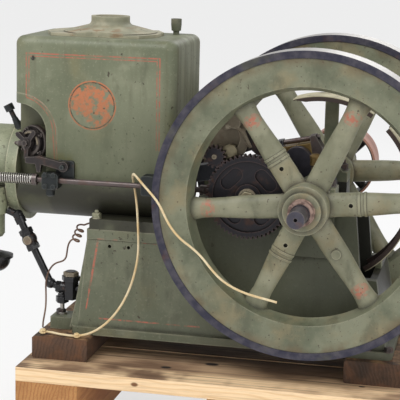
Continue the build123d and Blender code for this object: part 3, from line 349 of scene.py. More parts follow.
def timber(name, pale, late, along, heart, stain=None):
    """Sawn wood: rings round a heart outside the board, drawn-out fibres, a stain on chosen faces, and dark
    grime with painted shade in its corners.
    """
    ring_step = 0.0065
    f = Finish(name)
    across = f.y if along == "x" else f.x
    stretch = (0.06, 1, 1) if along == "x" else (1, 0.06, 1)
    warp = f.noise(14, 3, tuple(0.25 if s < 1 else s for s in stretch)) * 0.035
    du, dw = across - heart[0], f.z - heart[1]
    rings = (((du * du + dw * dw) ** 0.5 + warp) * (2 * pi / ring_step)).sine()
    fibre = f.noise(320, 4, stretch)
    wide = f.noise(26, 3, stretch, 5)
    wood = f.mix(rings.ramp(0.1, 1.0) * 0.55, pale, late)
    wood = f.mix(fibre.ramp(0.45, 0.75) * 0.35, wood, tuple(0.55 * v for v in late))
    wood = f.mix(wide.ramp(0.45, 0.8) * 0.35, wood, tuple(0.8 * v for v in late))
    for color, share in (stain(f) if stain else ()):
        wood = f.mix(share, wood, color)
    # Grime with painted shade in the wood's corners.
    wood = f.mix(f.crease(0.02) * 0.5, wood, (0.03, 0.02, 0.013))
    return f.close(wood, 0.7, 0.0, rings * 0.25 + fibre * 0.8 + wide, 0.5, 0.0012, 0.0015)


# Finishes


def hopper_marks(f):
    """Double red lines round the hopper's front, and the bare orange disc of the decal."""
    front = f.facing_back.ramp(-0.4, -0.7)
    lines = []
    turn_x, turn_z = -0.4245, 0.516
    for inset, half in ((0.0, 0.0011), (0.0048, 0.0008)):
        left, right, top = -0.4105 + inset, -0.1735 - inset, 0.6535 - inset
        corners = ((left, 0.5785), (left, top), (right, top), (right + 0.001, 0.497))
        lines += [f.segment(start, end, half) for start, end in zip(corners, corners[1:])]
        reach = 0.0625 + inset
        lines.append(f.ring((turn_x, turn_z), reach, half) * (f.x > left) * (f.z > turn_z))
        lines.append(f.segment((turn_x + reach, turn_z), (turn_x + reach + 0.004, 0.462), half * 1.2))
    lines = joined(lines)
    worn = f.noise(55, 4, shift=13).ramp(0.36, 0.52)
    smear = f.segment((-0.366, 0.545), (-0.3605, 0.468), 0.0042) * f.noise(70, 4, shift=15).ramp(0.5, 0.62)
    centre = (-0.292, 0.5685)
    disc = f.radius(centre).ramp(0.0428, 0.0418)
    field = disc * f.noise(46, 5, shift=11, rough=0.65).ramp(0.56, 0.47)
    hoop = f.ring(centre, 0.0395, 0.0011) * f.noise(60, 3, shift=16).ramp(0.3, 0.45)
    return (
        (RED, lines * front * (0.25 + 0.75 * worn)),
        ((0.3, 0.105, 0.06), smear * front * 0.8),
        (ORANGE, field.most(f.ring(centre, 0.0414, 0.0013)) * front),
        ((0.035, 0.035, 0.022), hoop * front * 0.9),
    )


def hopper_stains_and_shade(f):
    """Painted shade that deepens downwards and is darkest on the underside, a yellow oil stain low on the
    front, streaky stain with painted shade on the right end, painted shade inside the alcove, and a rust spot
    in the upper corner.
    """
    # Painted shade: the enamel darkens downwards, and most of all on the underside.
    shade = f.z.ramp(0.64, 0.46) * (0.42 + 0.4 * f.noise(9, 3, shift=18))
    low = f.z.ramp(0.455, 0.41) * f.noise(16, 3, shift=8).ramp(0.1, 0.45)
    spot = f.radius((-0.3983, 0.6456)).ramp(0.0055, 0.003) * f.noise(300, 2).ramp(0.35, 0.5)
    oil = f.radius((-0.345, 0.46)).ramp(0.035, 0.008) * f.noise(60, 4, shift=17).ramp(0.35, 0.6)
    # Streaky stain with painted shade on the right end.
    right = f.x.ramp(-0.175, -0.15) * f.noise(50, 3, (1, 1, 0.06)).ramp(0.45, 0.6)
    # Painted shade inside the alcove.
    alcove_shade = f.y.ramp(-0.092, -0.08) * f.x.ramp(-0.37, -0.38) * f.z.ramp(0.575, 0.56)
    return (
        ((0.085, 0.095, 0.05), shade),
        ((0.024, 0.022, 0.013), low * 0.9),
        ((0.02, 0.015, 0.012), spot),
        ((0.13, 0.12, 0.03), oil * 0.6),
        ((0.09, 0.085, 0.04), right * 0.6),
        (DARK_RUNS_AND_SHADE, alcove_shade * 0.6),
    )


def base_marks(f):
    """Worn red lines along the base's top left corner and its foot, and the dark seam under the cylinder."""
    front = f.facing_back.ramp(-0.4, -0.7)
    lines = joined(f.segment(start, end, half) for start, end, half in (
        ((-0.278, 0.3355), (-0.234, 0.3365), 0.0014),
        ((-0.278, 0.3355), (-0.2916, 0.2435), 0.0018),
        ((-0.2916, 0.2435), (-0.2985, 0.1956), 0.0012),
        ((-0.2985, 0.1956), (-0.0926, 0.195), 0.0012),
        ((-0.205, 0.3345), (-0.17, 0.333), 0.0008),
    ))
    seam = f.segment((-0.31, 0.3525), (-0.13, 0.3565), 0.0006)
    return (
        (RED, lines * front * f.noise(50, 4, shift=13).ramp(0.38, 0.56)),
        ((0.05, 0.048, 0.03), seam * front),
    )


def base_stains_and_shade(f):
    """Oil with painted shade makes the crank pit's inside black, and painted shade makes the right end darker
    than the left.
    """
    inside = abs(f.y).ramp(0.0925, 0.0875) * f.x.ramp(-0.115, -0.1) * f.z.ramp(0.2, 0.23)
    # Painted shade: the base darkens smoothly towards its right end.
    right = f.x.ramp(-0.19, -0.02) * 0.6
    return ((0.075, 0.078, 0.05), right), ((0.03, 0.03, 0.022), inside)


def wheel_marks(f):
    """A red patch on four spokes just inside the rim, on the front."""
    patches = []
    for angle in (185, 125, 65, -55):
        spot = radians(angle)
        across = 0.004 * np.array((-sin(spot), cos(spot)))
        middle = np.array(CRANK) + 0.163 * np.array((cos(spot), sin(spot)))
        start, end = (middle - across).tolist(), (middle + across).tolist()
        patches.append(f.segment(start, end, 0.006).most(f.segment(start, end, 0.012) * 0.5))
    return (((0.42, 0.13, 0.08), joined(patches) * f.facing_back.ramp(-0.3, -0.6) * 0.9),)


def wheel_metal(name, front):
    """A flywheel: patchy enamel on the spokes and the rim's faces, dark steel round the rim's face, a
    rusty nose and a bright tread. Each is a band of the distance from the crank's axis."""
    f = Finish(name)
    far = f.radius(CRANK)
    cloud = f.noise(9, 5, rough=0.65)
    # The spokes and hub are painted paler than the rim's face: a painted highlight on their rounded faces,
    # over cloudy paint.
    spokes = far.ramp(0.194, 0.182)
    paint = f.mix(cloud.ramp(0.36, 0.62), (0.11, 0.122, 0.075), (0.2, 0.206, 0.135))
    spoke_cloud = f.noise(21, 4, shift=14).ramp(0.35, 0.65)
    paint = f.mix(spokes * 0.8, paint, f.mix(spoke_cloud, (0.185, 0.182, 0.115), (0.285, 0.275, 0.185)))
    paint = f.mix(f.noise(15, 5, shift=7).ramp(0.5, 0.7) * 0.6, paint, (0.25, 0.2, 0.105))
    paint = f.mix(f.noise(38, 5, (1, 1, 0.5), 3).ramp(0.53, 0.7) * 0.6, paint, (0.085, 0.09, 0.055))
    paint = f.mix(f.noise(210, 3, shift=8).ramp(0.6, 0.75) * 0.25, paint, (0.3, 0.29, 0.2))
    for color, share in (wheel_marks(f) if front else ()):
        paint = f.mix(share * f.noise(120, 4).ramp(0.4, 0.58), paint, color)
    chips = f.noise(170, 2, shift=9).ramp(0.68, 0.72).most(f.noise(330, 2, shift=19).ramp(0.71, 0.74))
    paint = f.mix(chips * 0.8, paint, (0.06, 0.04, 0.026))
    # Pale edges: worn paint with a painted highlight along them.
    paint = f.mix(f.edge(0.003) * f.noise(40, 3).ramp(0.3, 0.6) * 0.7, paint, (0.42, 0.4, 0.28))
    border = far.ramp(0.222, 0.2415) * f.noise(26, 4, shift=2).ramp(0.35, 0.62)
    paint = f.mix(border * 0.75, paint, (0.13, 0.095, 0.048))
    stain = far.ramp(0.055, 0.03) * f.noise(45, 4, shift=21).ramp(0.45, 0.65)
    paint = f.mix(stain * 0.6, paint, (0.3, 0.24, 0.13))
    # Grime with painted shade in the wheel's creases.
    paint = f.mix(f.crease(0.014) * 0.85, paint, GRIME_AND_SHADE)
    nose = far.ramp(0.0225, 0.0215)
    rusty = f.mix(f.noise(95, 4, shift=5).ramp(0.4, 0.62), (0.36, 0.245, 0.2), (0.14, 0.085, 0.07))
    steel = f.mix(f.noise(60, 4, shift=5).ramp(0.35, 0.7), (0.035, 0.034, 0.055), (0.085, 0.078, 0.095))
    steel = f.mix(f.noise(25, 3, shift=6).ramp(0.58, 0.75) * 0.6, steel, RUST)
    steel = f.mix(f.noise(16, 4, shift=12).ramp(0.55, 0.7) * 0.5, steel, (0.1, 0.1, 0.065))
    rim_front = -0.2 if front else 0.143
    tread = far.ramp(0.2527, 0.2535) * f.y.ramp(rim_front + 0.0008, rim_front + 0.002)
    bright = f.mix(f.noise(90, 4, (1, 0.2, 1)), (0.42, 0.4, 0.38), (0.6, 0.58, 0.56))
    band = far.ramp(0.2412, 0.242)
    color = f.mix(tread, f.mix(nose, f.mix(band, paint, steel), rusty), bright)
    metal = band * 0.5 + tread * 0.4
    rough = 0.44 + 0.2 * cloud + 0.25 * nose - 0.1 * band - 0.08 * tread
    lumps = f.noise(90, 4) * 0.5 + f.noise(420, 2) * 0.25 - chips * 0.5
    return f.close(color, rough, metal, lumps * (1 - band * 0.8), 0.35, 0.0013)


def deck_stain(f):
    """Oil-brown on the deck's upper face, paler along its front edge, with dark holes, knots in its edges,
    and a painted shadow line along the gap between the front board and the bearer."""
    top = f.facing_up.ramp(0.5, 0.9)
    edge_light = f.y.ramp(-0.172, -0.15).most(f.noise(9, 3, shift=2).ramp(0.4, 0.6))
    knots, holes = [], []
    for x, z in ((-0.18, 0.115), (0.12, 0.106), (0.3, 0.113), (-0.33, 0.097)):
        dx, dz = f.x - x, (f.z - z) * 1.7
        knots.append(((dx * dx + dz * dz) ** 0.5).ramp(0.008, 0.004))
    blots = f.noise(10, 4, (0.35, 1, 1), 9).ramp(0.4, 0.65)
    # A painted shadow line low on the front board, where it sits on the bearer.
    split = f.segment((-0.387, 0.1005), (-0.294, 0.0985), 0.0013) * f.noise(60, 3, shift=3).ramp(0.3, 0.5)
    for x, y, reach in ((-0.07, -0.1026, 0.009), (-0.1426, -0.1419, 0.007), (0.196, -0.15, 0.004)):
        dx, dy = (f.x - x) * 0.6, f.y - y
        holes.append(((dx * dx + dy * dy) ** 0.5).ramp(reach, reach * 0.6))
    streaks = f.noise(120, 4, (0.03, 1, 1), 6).ramp(0.5, 0.66)
    return (
        ((0.36, 0.21, 0.12), top * edge_light * (0.55 + 0.45 * blots)),
        ((0.12, 0.068, 0.038), top * blots * edge_light * 0.7),
        ((0.05, 0.03, 0.017), top * streaks * 0.55),
        ((0.4, 0.22, 0.09), streaks * (1 - top) * 0.3),
        ((0.2, 0.09, 0.035), joined(knots) * (1 - top)),
        # The painted shadow line of the gap.
        ((0.03, 0.02, 0.012), split * (1 - top) * f.facing_back.ramp(-0.4, -0.7)),
        ((0.02, 0.013, 0.01), joined(holes) * top),
    )


def skid_stain(f):
    """Old oil and rust that soaked in, and pale worn wood on the top and its front edge."""
    top = f.facing_up.ramp(0.5, 0.9)
    worn = f.noise(35, 5, shift=11, rough=0.65).ramp(0.42, 0.6)
    edge = f.y.ramp(-0.166, -0.172) * (1 - top) * f.z.ramp(0.15, 0.166)
    blot = f.radius((-0.3734, 0.167)).ramp(0.016, 0.008) * top * f.y.ramp(-0.112, -0.118)
    return (
        ((0.16, 0.07, 0.03), f.noise(30, 4, shift=1).ramp(0.48, 0.66) * 0.7),
        ((0.32, 0.19, 0.09), top * worn * 0.85),
        ((0.3, 0.15, 0.065), edge * worn * 0.7),
        ((0.02, 0.014, 0.01), f.noise(17, 4, shift=4).ramp(0.5, 0.7) * 0.75),
        ((0.03, 0.02, 0.014), blot * 0.8),
    )


def guard_sheet():
    """Sheet steel: worn cream paint outside the hoop, brown rust inside."""
    f = Finish("cream_sheet")
    outside = f.radius(CRANK).ramp(0.1612, 0.1618)
    cream = f.mix(f.noise(30, 4).ramp(0.4, 0.7), (0.58, 0.53, 0.36), (0.4, 0.36, 0.24))
    cream = f.mix(f.noise(70, 4, shift=3).ramp(0.6, 0.7), cream, (0.14, 0.12, 0.07))
    brown = f.mix(f.noise(50, 4), (0.07, 0.04, 0.03), (0.03, 0.022, 0.02))
    return f.close(f.mix(outside, brown, cream), 0.55, 0.0, f.noise(200, 3), 0.2, 0.0006, 0.0006)


def pulley_paint():
    """Faded pink-red paint outside, and painted shade inside: near black in the pulley's hollow."""
    f = Finish("pulley_paint")
    outside = f.radius(CRANK).ramp(0.0655, 0.067)
    pink = f.mix(f.noise(30, 4).ramp(0.35, 0.7), (0.6, 0.31, 0.24), (0.42, 0.2, 0.15))
    # Near black inside the rim: painted shade.
    black = f.mix(f.noise(60, 3), (0.02, 0.018, 0.018), (0.05, 0.045, 0.04))
    return f.close(f.mix(outside, black, pink), 0.5, 0.0, f.noise(200, 3), 0.2, 0.0006)


def lid_paint():
    """Pale weathered paint on the lid, rusty round the neck's foot, with pale edges that are worn paint with
    a painted highlight, and grime with painted shade in its creases.
    """
    f = Finish("lid_enamel")
    paint = f.mix(f.noise(26, 5).ramp(0.35, 0.65), (0.24, 0.24, 0.165), (0.4, 0.37, 0.26))
    foot = f.radius((-0.289, 0.69)).ramp(0.075, 0.04) * f.noise(60, 5, shift=3).ramp(0.45, 0.62)
    paint = f.mix(foot * f.z.ramp(0.703, 0.693) * 0.75, paint, (0.24, 0.14, 0.07))
    paint = f.mix(f.noise(110, 3, shift=5).ramp(0.66, 0.72), paint, (0.1, 0.07, 0.045))
    # Pale edges: worn paint with a painted highlight.
    paint = f.mix(f.edge() * 0.5, paint, (0.5, 0.46, 0.33))
    # Grime with painted shade in the lid's creases.
    paint = f.mix(f.crease() * 0.8, paint, GRIME_AND_SHADE)
    return f.close(paint, 0.6, 0.0, f.noise(120, 4), 0.35, 0.0012)


FINISHES = {
    "hopper": enamel("hopper_enamel", hopper_marks, 1.0, hopper_stains_and_shade),
    # The base and the cup get darker copies and the head a lighter copy of the same enamel: painted shade and
    # painted light.
    "base": enamel("base_enamel", base_marks, 0.7, base_stains_and_shade),
    "head": enamel("head_enamel", None, 1.45),
    "cup": enamel("cup_enamel", None, 0.5),
    "green": enamel("part_enamel"),
    "lid": lid_paint(),
    "wheel_front": wheel_metal("front_wheel", True),
    "wheel_back": wheel_metal("back_wheel", False),
    "steel": iron("brown_steel", (0.16, 0.13, 0.125), 0.5, 0.42, 0.7),
    "bright": iron("bright_steel", (0.5, 0.47, 0.43), 0.15, 0.3, 0.9, (0.7, 0.68, 0.63)),
    "dark": iron("oiled_iron", (0.05, 0.042, 0.042), 0.45, 0.45, 0.5, (0.2, 0.17, 0.15)),
    "gear": iron("gear_iron", (0.034, 0.031, 0.037), 0.25, 0.45, 0.55, (0.17, 0.11, 0.1)),
    "shaft": iron("shaft_steel", (0.1, 0.095, 0.12), 0.3, 0.4, 0.7, (0.24, 0.2, 0.18)),
    "wire": cover("varnished_wire", (0.1, 0.05, 0.03), (0.2, 0.12, 0.08), 0.45),
    "cotton": cover("braided_cotton", (0.72, 0.52, 0.26), (0.86, 0.74, 0.5), 0.85),
    "black": iron("black_pipe", (0.014, 0.014, 0.016), 0.1, 0.35, 0.1, (0.06, 0.06, 0.06)),
    "brass": iron("old_brass", (0.32, 0.21, 0.08), 0.2, 0.4, 0.7, (0.55, 0.42, 0.18)),
    "cream": guard_sheet(),
    "pulley": pulley_paint(),
    "deck": timber("pale_pine", (0.95, 0.7, 0.43), (0.78, 0.5, 0.25), "x", (0.02, -0.06), deck_stain),
    "bearer": timber("orange_pine", (0.5, 0.245, 0.085), (0.33, 0.12, 0.034), "y", (0.1, -0.03)),
    "skid": timber("oiled_timber", (0.105, 0.056, 0.033), (0.05, 0.027, 0.016), "y", (0.05, 0.1), skid_stain),
    "casting": iron("black_casting", (0.022, 0.027, 0.028), 0.2, 0.45, 0.3, (0.12, 0.13, 0.12)),
    "rod": iron("blue_rod", (0.12, 0.125, 0.145), 0.3, 0.35, 0.8, (0.45, 0.45, 0.45)),
    "tan": iron("tan_bracket", (0.26, 0.215, 0.15), 0.5, 0.6, 0.15, (0.5, 0.44, 0.33)),
    "pale": iron("pale_washer", (0.42, 0.36, 0.23), 0.25, 0.5, 0.4, (0.6, 0.55, 0.4)),
}

NODE_FINISH = {
    "hopper": ("hopper_cylinder",),
    "base": ("engine_base",),
    "lid": ("hopper_lid",),
    "head": ("cylinder_head",),
    "cup": ("hopper_cup",),
    "green": ("guard_bracket", "guard_foot", "rocker_bracket", "bearing_cap_near",
              "bearing_cap_far", "mixer_body"),
    "wheel_front": ("flywheel_near",),
    "wheel_back": ("flywheel_far",),
    "steel": ("pushrod", "rod_cap", "rocker_arm", "valve_stem"),
    "bright": ("drop_tube", "pushrod_spring"),
    "dark": ("igniter_body", "igniter_lever", "latch_arm", "piston"),
    "casting": ("pushrod_guide", "pushrod_rear_guide", "priming_cup"),
    "rod": ("connecting_rod",),
    "tan": ("governor_bracket", "governor_lever", "cam_stud"),
    "gear": ("cam_gear", "crank_gear", "governor_gear"),
    "shaft": ("crankshaft",),
    "black": ("fuel_pipe_upper", "fuel_pipe_lower", "fuel_valve", "mixer_bell", "fuel_union"),
    "brass": ("rod_brasses",),
    "cream": ("crank_guard_upper", "crank_guard_lower"),
    "wire": ("ignition_wire_top", "ignition_pigtail", "ignition_wire"),
    "cotton": ("cotton_lead", "lead_knot"),
    "pulley": ("belt_pulley",),
    "deck": ("deck_board_front", "deck_board_middle", "deck_board_rear"),
    "bearer": ("bearer_left", "bearer_middle", "bearer_right"),
    "skid": ("skid_left", "skid_right"),
}
for finish, names in NODE_FINISH.items():
    for name in names:
        nodes[name].data.materials.clear()
        nodes[name].data.materials.append(FINISHES[finish])


# Pieces worked out as surfaces

UP, FORWARD, BACK, RIGHT, LEFT = (0, 0, 1), (0, -1, 0), (0, 1, 0), (1, 0, 0), (-1, 0, 0)


def skin(name, grids, finish, smooth=False, body="frame"):
    """A piece made of grids of points, rows by columns. Quads join neighbours, with around the last
    column joins the first, and with along the last row joins the first. A grid that is closed around
    alone is capped at both ends by a fan from the end row's mean."""
    points, faces, start = [], [], 0
    for grid, around, along in grids:
        rows, cols = grid.shape[:2]
        index = np.arange(rows * cols).reshape(rows, cols) + start
        right = np.roll(index, -1, 1) if around else index[:, 1:]
        left = index if around else index[:, :-1]
        down = np.roll(np.arange(rows), -1) if along else np.arange(1, rows)
        up = np.arange(rows) if along else np.arange(rows - 1)
        quads = np.stack([left[up], right[up], right[down], left[down]], -1).reshape(-1, 4)
        faces += quads.tolist()
        points.append(grid.reshape(-1, 3))
        start += rows * cols
        if around and not along:
            ends = np.stack([grid[0].mean(0), grid[-1].mean(0)])
            points.append(ends)
            low = np.stack([np.roll(index[0], -1), index[0], np.full(cols, start)], -1)
            high = np.stack([index[-1], np.roll(index[-1], -1), np.full(cols, start + 1)], -1)
            faces += low.tolist() + high.tolist()
            start += 2
    mesh = bpy.data.meshes.new(name)
    mesh.from_pydata(np.concatenate(points).tolist(), [], faces)
    mesh.polygons.foreach_set("use_smooth", [smooth] * len(mesh.polygons))
    mesh.materials.append(FINISHES[finish])
    mesh.update()
    piece = bpy.data.objects.new(name, mesh)
    bpy.context.collection.objects.link(piece)
    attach(piece, body)
    return piece


def thread(name, points, diameter, finish):
    """A cord: a smooth NURBS line with the route's points as its control points. Its round section's
    radius is the points' own radius times a bevel depth of 1."""
    curve = bpy.data.curves.new(name, "CURVE")
    curve.dimensions = "3D"
    curve.bevel_depth, curve.bevel_resolution, curve.use_fill_caps = 1.0, 4, True
    curve.resolution_u = 8
    line = curve.splines.new("NURBS")
    line.points.add(len(points) - 1)
    line.points.foreach_set("co", np.column_stack([np.array(points), np.ones(len(points))]).ravel())
    line.points.foreach_set("radius", [diameter / 2] * len(points))
    line.order_u, line.use_endpoint_u = 3, True
    curve.materials.append(FINISHES[finish])
    cord = bpy.data.objects.new(name, curve)
    bpy.context.collection.objects.link(cord)
    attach(cord, "frame")
    return cord


def middle_line(cord):
    """The points of a cord's line, as the curve gives them with no section."""
    depth = cord.data.bevel_depth
    cord.data.bevel_depth = 0
    bare = bpy.data.meshes.new_from_object(cord)
    cord.data.bevel_depth = depth
    points = np.zeros(len(bare.vertices) * 3)
    bare.vertices.foreach_get("co", points)
    bpy.data.meshes.remove(bare)
    return points.reshape(-1, 3)


def line_length(points):
    """The sum of the distances from each point to the next."""
    return float(np.linalg.norm(np.diff(points, axis=0), axis=1).sum())


def frame_axes(axis):
    """An axis as a unit vector, and two more that are square to it and to each other, right-handed."""
    axis = np.array(axis, float)
    axis /= np.linalg.norm(axis)
    side = np.cross(axis, UP if abs(axis[2]) < 0.9 else RIGHT)
    side /= np.linalg.norm(side)
    return axis, side, np.cross(axis, side)


def section(line, across, third, radius, sides):
    """A round section carried along a line, in the plane of its two given directions at each point."""
    angle = np.arange(sides) * 2 * pi / sides
    ring = np.cos(angle)[None, :, None] * across[:, None] + np.sin(angle)[None, :, None] * third[:, None]
    return line[:, None] + radius * ring


def unit(vectors):
    """Vectors, one a row, each divided by its own length."""
    return vectors / np.linalg.norm(vectors, axis=1)[:, None]


def turned(profile, centre, axis, steps=32, sides=0, spin=0.0):
    """Turns a profile of (radius, height, roundness) about an axis.

    With sides, a radius is the distance to the flats of a polygon: it grows as 1/cos of the angle
    from the nearest flat's middle, blended towards a circle by the roundness.
    """
    axis, side, other = frame_axes(axis)
    angle = np.arange(steps) * 2 * pi / steps + spin
    if sides:
        half = pi / sides
        flat = 1 / np.cos((angle - spin + half) % (2 * half) - half)
    else:
        flat = np.ones(steps)
    rows = np.array([row if len(row) == 3 else (*row, 0.0) for row in profile])
    reach = rows[:, None, 0] * (flat[None] * (1 - rows[:, None, 2]) + rows[:, None, 2])
    ray = np.cos(angle)[:, None] * side + np.sin(angle)[:, None] * other
    points = np.array(centre) + rows[:, None, 1, None] * axis + reach[..., None] * ray
    return points, True, False


def collar(half, low, high, centre, axis, spin=0.0):
    """A hexagon, plain up to the low height and chamfered by 1 mm from there to the high one."""
    return turned([(half, 0, 0), (half, low, 0), (half - 0.001, high, 1)], centre, axis, 24, 6, spin)


def nut(centre, axis, across, height, stud=0.0, spin=0.3):
    """A hexagon nut: flat sides, chamfered rims, a washer under it and a domed stud end through it."""
    half, washer = across / 2, 0.12 * across
    grids = [
        turned([(half * 1.25, 0, 1), (half * 1.25, washer, 1)], centre, axis, 24),
        turned([(half, washer, 0), (half, washer + height * 0.85, 0), (half * 0.96, washer + height, 1)],
               centre, axis, 24, 6, spin),
    ]
    if stud:
        top = washer + height
        grids.append(turned([(half * 0.52, top - 0.001), (half * 0.52, top + stud * 0.7),
                             (half * 0.36, top + stud)], centre, axis, 16))
    return grids


def bolt_head(centre, axis, across, height):
    """A hexagon bolt head with a washer and a slightly domed top."""
    half, washer = across / 2, 0.1 * across
    return [
        turned([(half * 1.2, 0, 1), (half * 1.2, washer, 1)], centre, axis, 24),
        turned([(half, washer, 0), (half, washer + height * 0.8, 0), (half * 0.94, washer + height, 1),
                (half * 0.5, washer + height * 1.04, 1)], centre, axis, 24, 6, 0.2),
    ]


def tube(route, radius, aside=(0, 1, 0), steps=8, sides=10):
    """A round bar along a route: quadratic arcs join the middles of its runs, and the section's axes
    are cross products of the line's direction with the aside vector."""
    route = np.array(route, float)
    middle = (route[:-1] + route[1:]) / 2
    t = np.linspace(0, 1, steps, endpoint=False)[:, None]
    arcs = [(1 - t) ** 2 * a + 2 * t * (1 - t) * b + t ** 2 * c
            for a, b, c in zip(middle[:-1], route[1:-1], middle[1:])]
    line = np.concatenate([route[:1], *arcs, middle[-1:], route[-1:]])
    tangent = unit(np.gradient(line, axis=0))
    across = unit(np.cross(tangent, aside))
    return section(line, across, np.cross(tangent, across), radius, sides), True, False


def helix(radius, wire, start, end, turns, per_turn=28, sides=8):
    """A coil spring: a circle of the wire's radius carried round a helix about the line start-end.

    The last half turn at each end closes up, and the tube's frame is the helix's own radius and the
    cross product of its tangent with it.
    """
    start, end = np.array(start, float), np.array(end, float)
    axis, side, other = frame_axes(end - start)
    length = np.linalg.norm(end - start)
    t = np.linspace(0, 1, int(turns * per_turn) + 1)
    angle = 2 * pi * turns * t
    run = wire + (length - 2 * wire) * np.clip((t - 0.5 / turns) / (1 - 1 / turns), 0, 1)
    out = np.cos(angle)[:, None] * side + np.sin(angle)[:, None] * other
    line = start + run[:, None] * axis + radius * out
    tangent = unit(np.gradient(line, axis=0))
    return section(line, out, np.cross(tangent, out), wire, sides), True, False


def loop_tube(line, radius, sides=8):
    """A closed tube round a closed line of points: its section's axes are the line's own normal,
    got from its second difference, and the cross product of the tangent with it."""
    tangent = unit(np.roll(line, -1, 0) - np.roll(line, 1, 0))
    bend = np.roll(line, -1, 0) - 2 * line + np.roll(line, 1, 0)
    bend = unit(bend - (bend * tangent).sum(1)[:, None] * tangent)
    return section(line, bend, np.cross(tangent, bend), radius, sides), True, True


def knot_turns(foot, half_x, half_y, height):
    """Four turns of lead pulled into a knot. Each is an ellipse that leans by a tilt, is turned about
    the upright by a swing and lifted by a share of the height, and its heights stop at the knot's ends."""
    strand, margin, clear = 0.0019, 0.002, 0.0021
    angle = np.arange(28) * 2 * pi / 28
    grids = []
    for tilt, swing, lift, size in ((0.5, 0.2, 0.42, 1.0), (-0.6, 1.2, 0.5, 0.92), (0.3, 2.3, 0.6, 0.86),
                                    (1.35, 0.6, 0.5, 0.8)):
        flat_x = (half_x - margin) * size * np.cos(angle)
        flat_y = (half_y - margin) * size * np.sin(angle)
        x = flat_x * cos(swing) - flat_y * sin(swing) * cos(tilt)
        y = flat_x * sin(swing) * 0.85 + flat_y * cos(swing) * cos(tilt)
        z = np.clip(flat_y * sin(tilt) + lift * height, clear, height - clear)
        grids.append(loop_tube(np.column_stack([x, y * 0.9, z]) + np.array(foot), strand))
    return grids


def add_bolts():
    """Nuts on the cylinder's flange, the head and the bearing caps, and bolts in the base's feet, one
    piece for each group."""
    flange_top, head_studs, cap_seat = 0.371, 0.06, CRANK_Z + 0.018
    grids = []
    for x in (-0.283, -0.14):
        for y in (-0.0955, 0.0955):
            grids += nut((x, y, flange_top), UP, 0.014, 0.008, 0.005)
    skin("cylinder_nuts", grids, "green")
    grids = []
    for k in range(6):
        angle = radians(30 + 60 * k)
        place = (HEAD_LEFT, head_studs * cos(angle), CRANK_Z + head_studs * sin(angle))
        grids += nut(place, LEFT, 0.019, 0.012, 0.007)
    skin("head_nuts", grids, "steel")
    grids = []
    for y in BEARING_YS:
        for x in (-0.028, 0.028):
            grids += nut((CRANK_X + x, y, cap_seat), UP, 0.015, 0.01, 0.008)
    skin("cap_nuts", grids, "steel")
    right_foot_top, left_foot_top = SKID_TOP + 0.014, SKID_TOP + 0.022
    grids = []
    for x in (0.2, 0.235):
        for y in (-0.118, 0.118):
            grids += bolt_head((x, y, right_foot_top), UP, 0.013, 0.007)
    for y in (-0.08, 0.048, 0.08):
        grids += bolt_head((-0.352, y, left_foot_top), UP, 0.015, 0.008)
    grids += bolt_head((0.2044, -0.084, SKID_TOP), UP, 0.014, 0.006)
    skin("foot_bolts", grids, "dark")


def on_igniter(out, angle=0.0, reach=0.0):
    """A point on the igniter: out from its seat, and a reach from its axis at an angle in degrees."""
    ray = cos(radians(angle)) * IGNITER_SIDE + sin(radians(angle)) * np.array(UP)
    return IGNITER + out * IGNITER_OUT + reach * ray


def add_igniter_parts():
    """The igniter's rim and boss, four nuts and a middle one, a terminal and a bent link over its face."""
    rim = [(0.0275, 0.0075), (0.0275, 0.0105), (0.0295, 0.0105), (0.0302, 0.0075)]
    boss = [(0.0215, 0.0155), (0.0215, 0.0172), (0.0165, 0.0172), (0.0165, 0.0155)]
    grids = [turned(rim, IGNITER, IGNITER_OUT, 48), turned(boss, IGNITER, IGNITER_OUT, 40)]
    for angle in (35, 118, 215, 318):
        grids += nut(on_igniter(0.008, angle, 0.0247), IGNITER_OUT, 0.0078, 0.005, 0.004)
    grids += nut(on_igniter(0.026, 0, 0), IGNITER_OUT, 0.011, 0.0045)
    skin("igniter_nuts", grids, "dark")
    aim = -IGNITER_SIDE
    foot = on_igniter(0.0115, 196, 0.02)
    grids = [turned([(0.0052, 0), (0.0052, 0.012), (0.0032, 0.0122), (0.0028, 0.022)], foot, aim, 18)]
    grids += nut(foot + 0.0115 * aim, aim, 0.0085, 0.0035)
    skin("igniter_terminal", grids, "steel")
    link = [on_igniter(0.0178, angle, 0.0185) for angle in (128, 100, 72, 44, 16, -8)]
    skin("igniter_link", [tube(link, 0.0019, IGNITER_OUT)], "tan", smooth=True)


def add_guide_parts():
    """The guide's lobe under the rod and its cap screws."""
    grids = [turned([(0.0035, -0.015), (0.0075, -0.013), (0.0085, 0.002), (0.0085, 0.012)],
                    (-0.361, -0.116, 0.424), UP, 24)]
    for x in (-0.3675, -0.3525):
        for z in (0.4475, 0.4275):
            grids += bolt_head((x, ROD_Y - 0.01, z), FORWARD, 0.0085, 0.0035)
    skin("guide_screws", grids, "casting")


def add_fuel_parts():
    """Nuts on the union and the pipes' ends, a plug on the union and the valve's packing nut."""
    union, half_union = np.mean(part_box("fuel_union"), axis=0), 0.0105
    y = union[1]
    fall = np.array((0.061, 0, -0.12)) / np.hypot(0.061, 0.12)
    grids = [
        collar(0.0108, 0.009, 0.0098, union + half_union * fall, fall, 0.3),
        collar(0.0108, 0.009, 0.0098, union - half_union * fall, -fall, 0.3),
        *nut((-0.433, y, 0.364), FORWARD, 0.011, 0.0095, spin=0.2),
        collar(0.0095, 0.008, 0.0088, (-0.3605, y, 0.238), RIGHT),
        collar(0.0105, 0.01, 0.011, (-0.35, y, 0.2115), UP),
    ]
    skin("fuel_nuts", grids, "black")
    grids = [
        turned([(0.0078, 0.0105), (0.0078, 0.0142), (0.0066, 0.0148), (0.005, 0.0142)], union, FORWARD, 24),
        collar(0.0122, 0.0062, 0.0074, (-0.334, y, 0.2605), UP, 0.1),
    ]
    skin("fuel_brass", grids, "tan")


